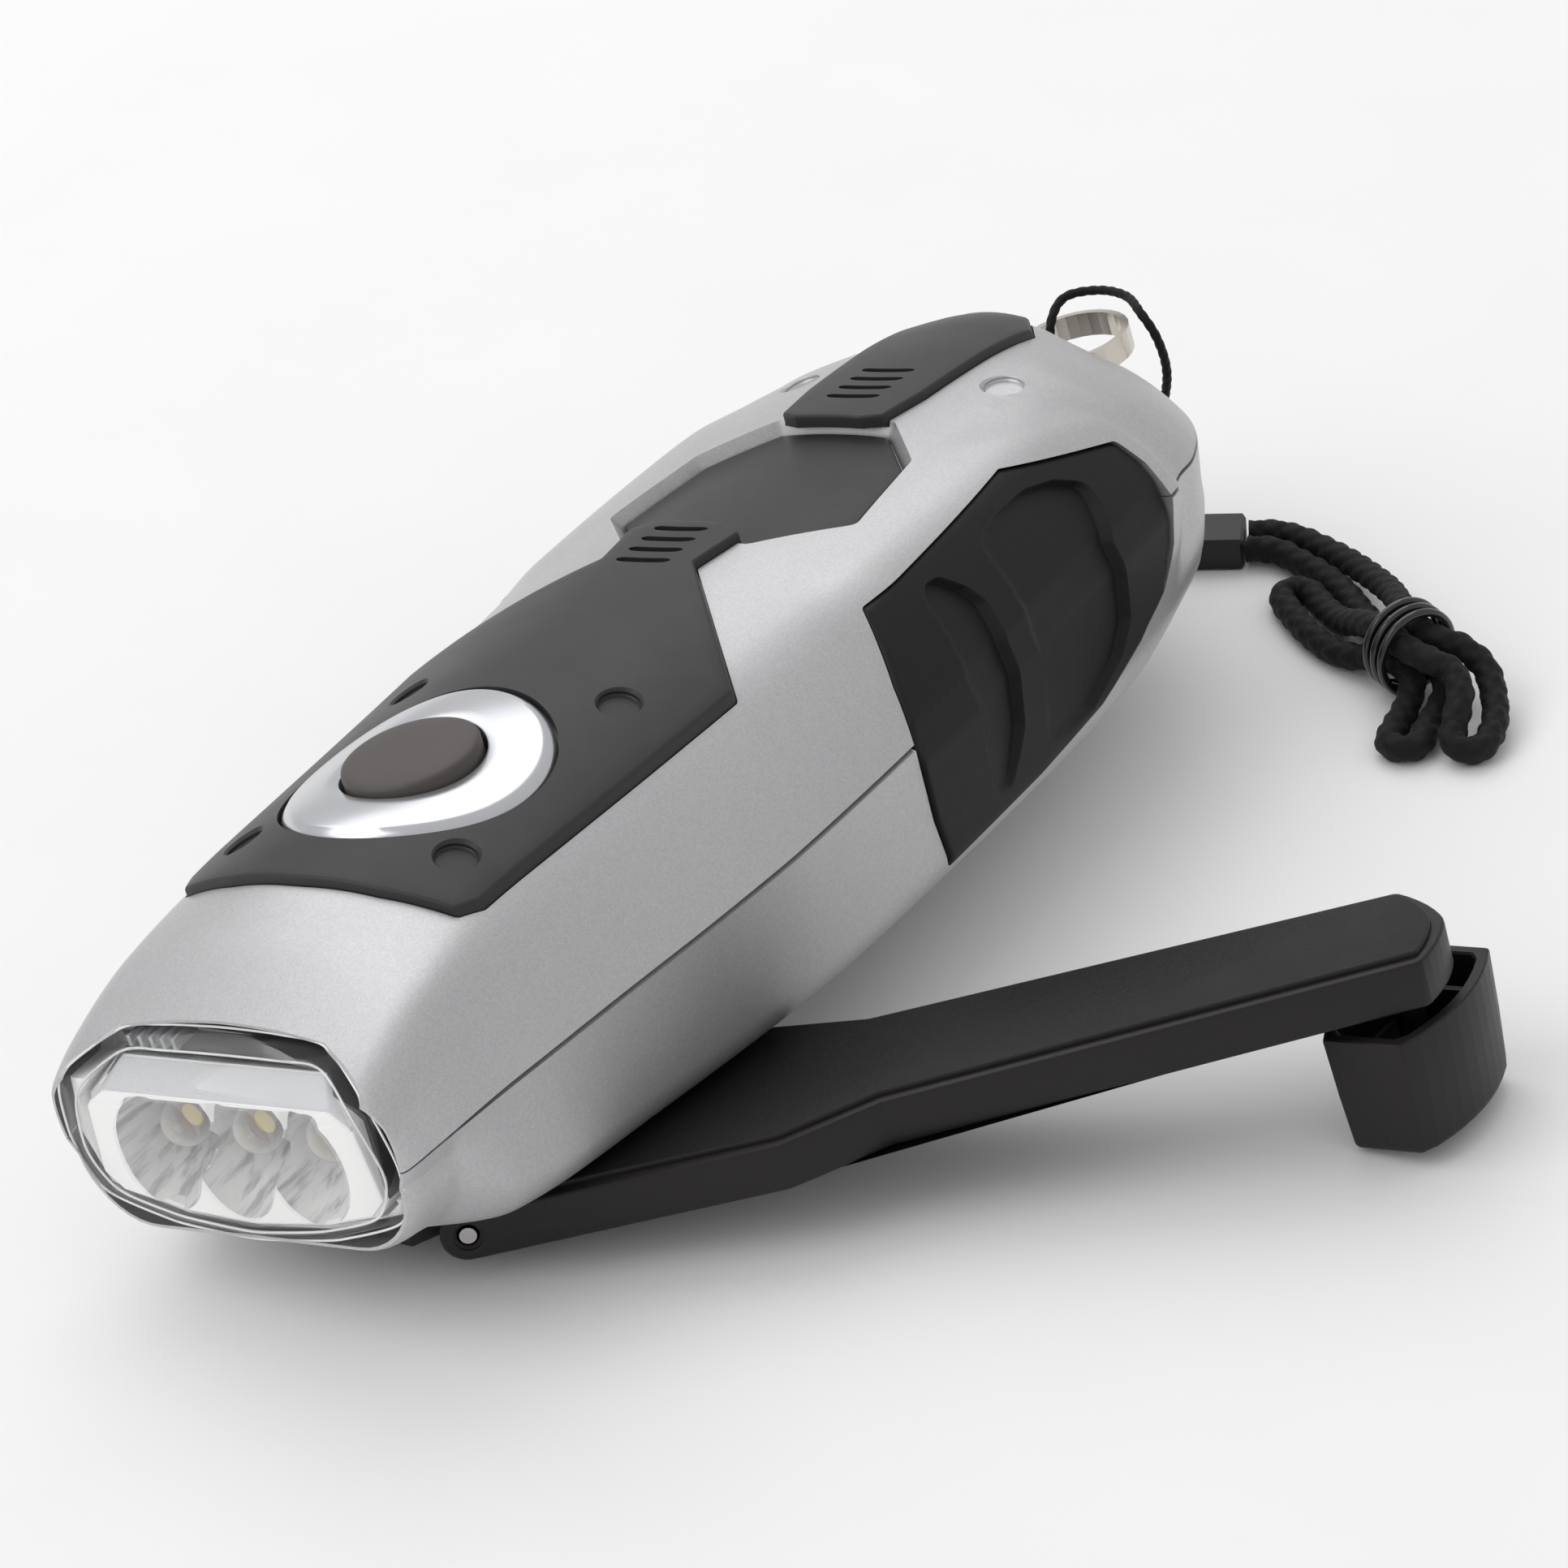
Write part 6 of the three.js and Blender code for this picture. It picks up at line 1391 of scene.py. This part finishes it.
def arm_outline(start, margin):
    points = [(start if x == 0 else x, y - margin) for x, y in ARM_POINTS]
    tip_x, tip_half = ARM_POINTS[-1]
    tip = [(tip_x + along * (ARM_TIP_REACH - margin), across * (tip_half - margin))
           for along, across in ARM_TIP_SHARES]
    right = [(x, -y) for x, y in points + tip]
    left = [(x, y) for x, y in reversed(points + tip)]
    radii = [0.3] + [2.5, 2.5, 1.5] + [0.4] * (2 * len(tip)) + [1.5, 2.5, 2.5] + [0.3]
    return dense(rounded(right + left, radii, 4), 2.5)


def arm_face(middle, way):
    """Textured on the raised top, satin elsewhere."""
    return int(way.z > 0.9 and middle.z > ARM_TOP_Z - 0.05)


def make_arm():
    arm = soft_prism("crank_lever", arm_outline(0, 0), ARM_BOTTOM_Z, ARM_LEDGE_Z, 0.3, 0.35)
    ears = []
    for side in (-1, 1):
        outside = side * ARM_POINTS[0][1]
        inside = side * EAR_INSIDE
        low, high = min(inside, outside), max(inside, outside)
        profile = [(EAR_RADIUS - 0.25, low), (EAR_RADIUS, low + 0.25), (EAR_RADIUS, high - 0.25),
                   (EAR_RADIUS - 0.25, high)]
        ears.append(turned_y("ear", 0, ARM_BOTTOM_Z + EAR_RADIUS, profile, 48))
    plateau = soft_prism("plateau", arm_outline(4.2, 1.2), ARM_LEDGE_Z - 0.3, ARM_TOP_Z, 0.22, 0)
    join(arm, plateau, *ears)
    hollow = prism("hollow", arm_outline(-3, ARM_WALL), ARM_BOTTOM_Z - 3, ARM_PLATE_Z)
    opening = block("opening", -4, 4.2, -8.7, 8.7, ARM_BOTTOM_Z - 3, 6)
    cut(arm, hollow, opening)
    ribs = [block("rib", x - 0.4, x + 0.4, -half, half, ARM_RIB_FOOT, ARM_PLATE_Z + 0.3)
            for x, half in ARM_RIBS]
    spine = block("spine", 16, 84, -0.4, 0.4, ARM_RIB_FOOT, ARM_PLATE_Z + 0.3)
    boss = post("boss", KNOB_REACH, 0, ARM_BOTTOM_Z, ARM_LEDGE_Z - 0.2, 3)
    stem = soft_post("stem", KNOB_REACH, 0, STEM_END - 0.3, ARM_BOTTOM_Z + 0.3, 1.4, 0.12, 40)
    join(arm, *ribs, spine, boss, stem)
    bore_profile = [(1.35, -20), (1.35, -10), (1.05, -9.8), (1.05, 9.8), (1.35, 10), (1.35, 20)]
    bore = turned_y("bore", 0, 0, bore_profile, 32)
    cut(arm, bore, post("screw_bore", KNOB_REACH, 0, STEM_END - 4, STEM_END + 2.7, 0.6))
    dress_faces(shade(arm, 32), ARM, "arm", "satin_black", [SATIN, TEXTURED], arm_face, "crank_arm")


def knob_section(margin):
    """The knob's outline, with bowed long sides, moved outward by a margin."""
    half = [(KNOB_HALF_END + margin, -KNOB_HALF - margin)]
    for share in np.linspace(0.12, 0.88, 9):
        along = -KNOB_HALF + 2 * KNOB_HALF * share
        half.append((KNOB_HALF_END + KNOB_BOW * (1 - (along / KNOB_HALF) ** 2) + margin, along))
    half.append((KNOB_HALF_END + margin, KNOB_HALF + margin))
    radii = [0.45] + [0.1] * 9 + [0.45, 0.45] + [0.1] * 9 + [0.45]
    return soft_outline(mirrored(half), radii)


def knob_loft(name, sections):
    return loft(name, [[(x, y, z) for x, y in knob_section(margin)] for margin, z in sections])


def make_knob():
    """A block with a hollow upper half, two ribs in it and a well for the screw below."""
    bottom = -KNOB_RIM - KNOB_HEIGHT
    sections = [(-1.35, bottom), (-0.95, bottom + 0.04), (-0.7, bottom + 0.18), (-0.55, bottom + 0.45),
                (-0.5, bottom + 0.8), (-0.22, (bottom - KNOB_RIM) / 2), (-0.02, -KNOB_RIM - 0.3),
                (-0.06, -KNOB_RIM - 0.1), (-0.2, -KNOB_RIM)]
    knob = knob_loft("knob_block", sections)
    mouth = knob_loft("mouth", [(-1.7, -KNOB_FLOOR), (-1.5, -KNOB_FLOOR + 0.25), (-1.3, -KNOB_RIM - 0.2),
                                (-1.1, -KNOB_RIM), (-1.1, 0)])
    well = post("well", 0, 0, bottom - 3, STEM_END, 2.7)
    bore = post("knob_bore", 0, 0, bottom, 0, 1.7)
    ribs = [block("rib", -5.2, 5.2, y - 0.35, y + 0.35, -KNOB_FLOOR - 0.4, -KNOB_RIM - 2.2)
            for y in (-5, 5)]
    cut(knob, mouth)
    form = knob_loft("knob_form", [(-0.5, bottom + 1), (-0.5, -KNOB_RIM)])
    for rib in ribs:
        meet(rib, kept(form))
    join(knob, *ribs)
    drop(form)
    cut(knob, well, bore)
    dress(shade(knob, 30), KNOB, "knob", "satin_black", [SATIN], "crank_knob")


make_arm()
make_knob()

# Floor, backdrop and lamps
def background_material(name):
    material, nodes, links, shader, coordinates = node_material(name)
    paper = ramp_node(nodes, links, noise_node(nodes, links, coordinates, 40, 4),
                      (0.3, (0.93, 0.93, 0.93)), (0.7, (0.945, 0.945, 0.945)))
    links.new(paper, shader.inputs["Base Color"])
    set_inputs(shader, {"Roughness": 0.8})
    return material


def make_stage():
    size = 3
    floor = mesh_object("floor", [(-size, -size, 0), (size, -size, 0), (size, size, 0), (-size, size, 0)],
                        [(0, 1, 2, 3)])
    floor.data.materials.append(background_material("floor_paper"))
    world = bpy.data.worlds.new("world")
    scene.world = world
    world.use_nodes = True
    set_inputs(world.node_tree.nodes["Background"], {"Color": (1, 1, 1, 1), "Strength": 0.64})


def lamp(name, place_at, aim, width, power):
    data = bpy.data.lights.new(name, "AREA")
    data.shape = "RECTANGLE"
    data.size, data.size_y = width
    data.energy = power
    obj = bpy.data.objects.new(name, data)
    scene.collection.objects.link(obj)
    obj.location = place_at
    obj.rotation_mode = "QUATERNION"
    obj.rotation_quaternion = (Vector(aim) - Vector(place_at)).to_track_quat("-Z", "Y")
    return obj


make_stage()
lamp("key_lamp", (-0.9, -1.1, 1.3), (0, 0, 0.02), (1.4, 1.4), 10.5)
lamp("top_lamp", (-0.8, 0.7, 1.3), (0, 0, 0.02), (1.4, 1.4), 8)
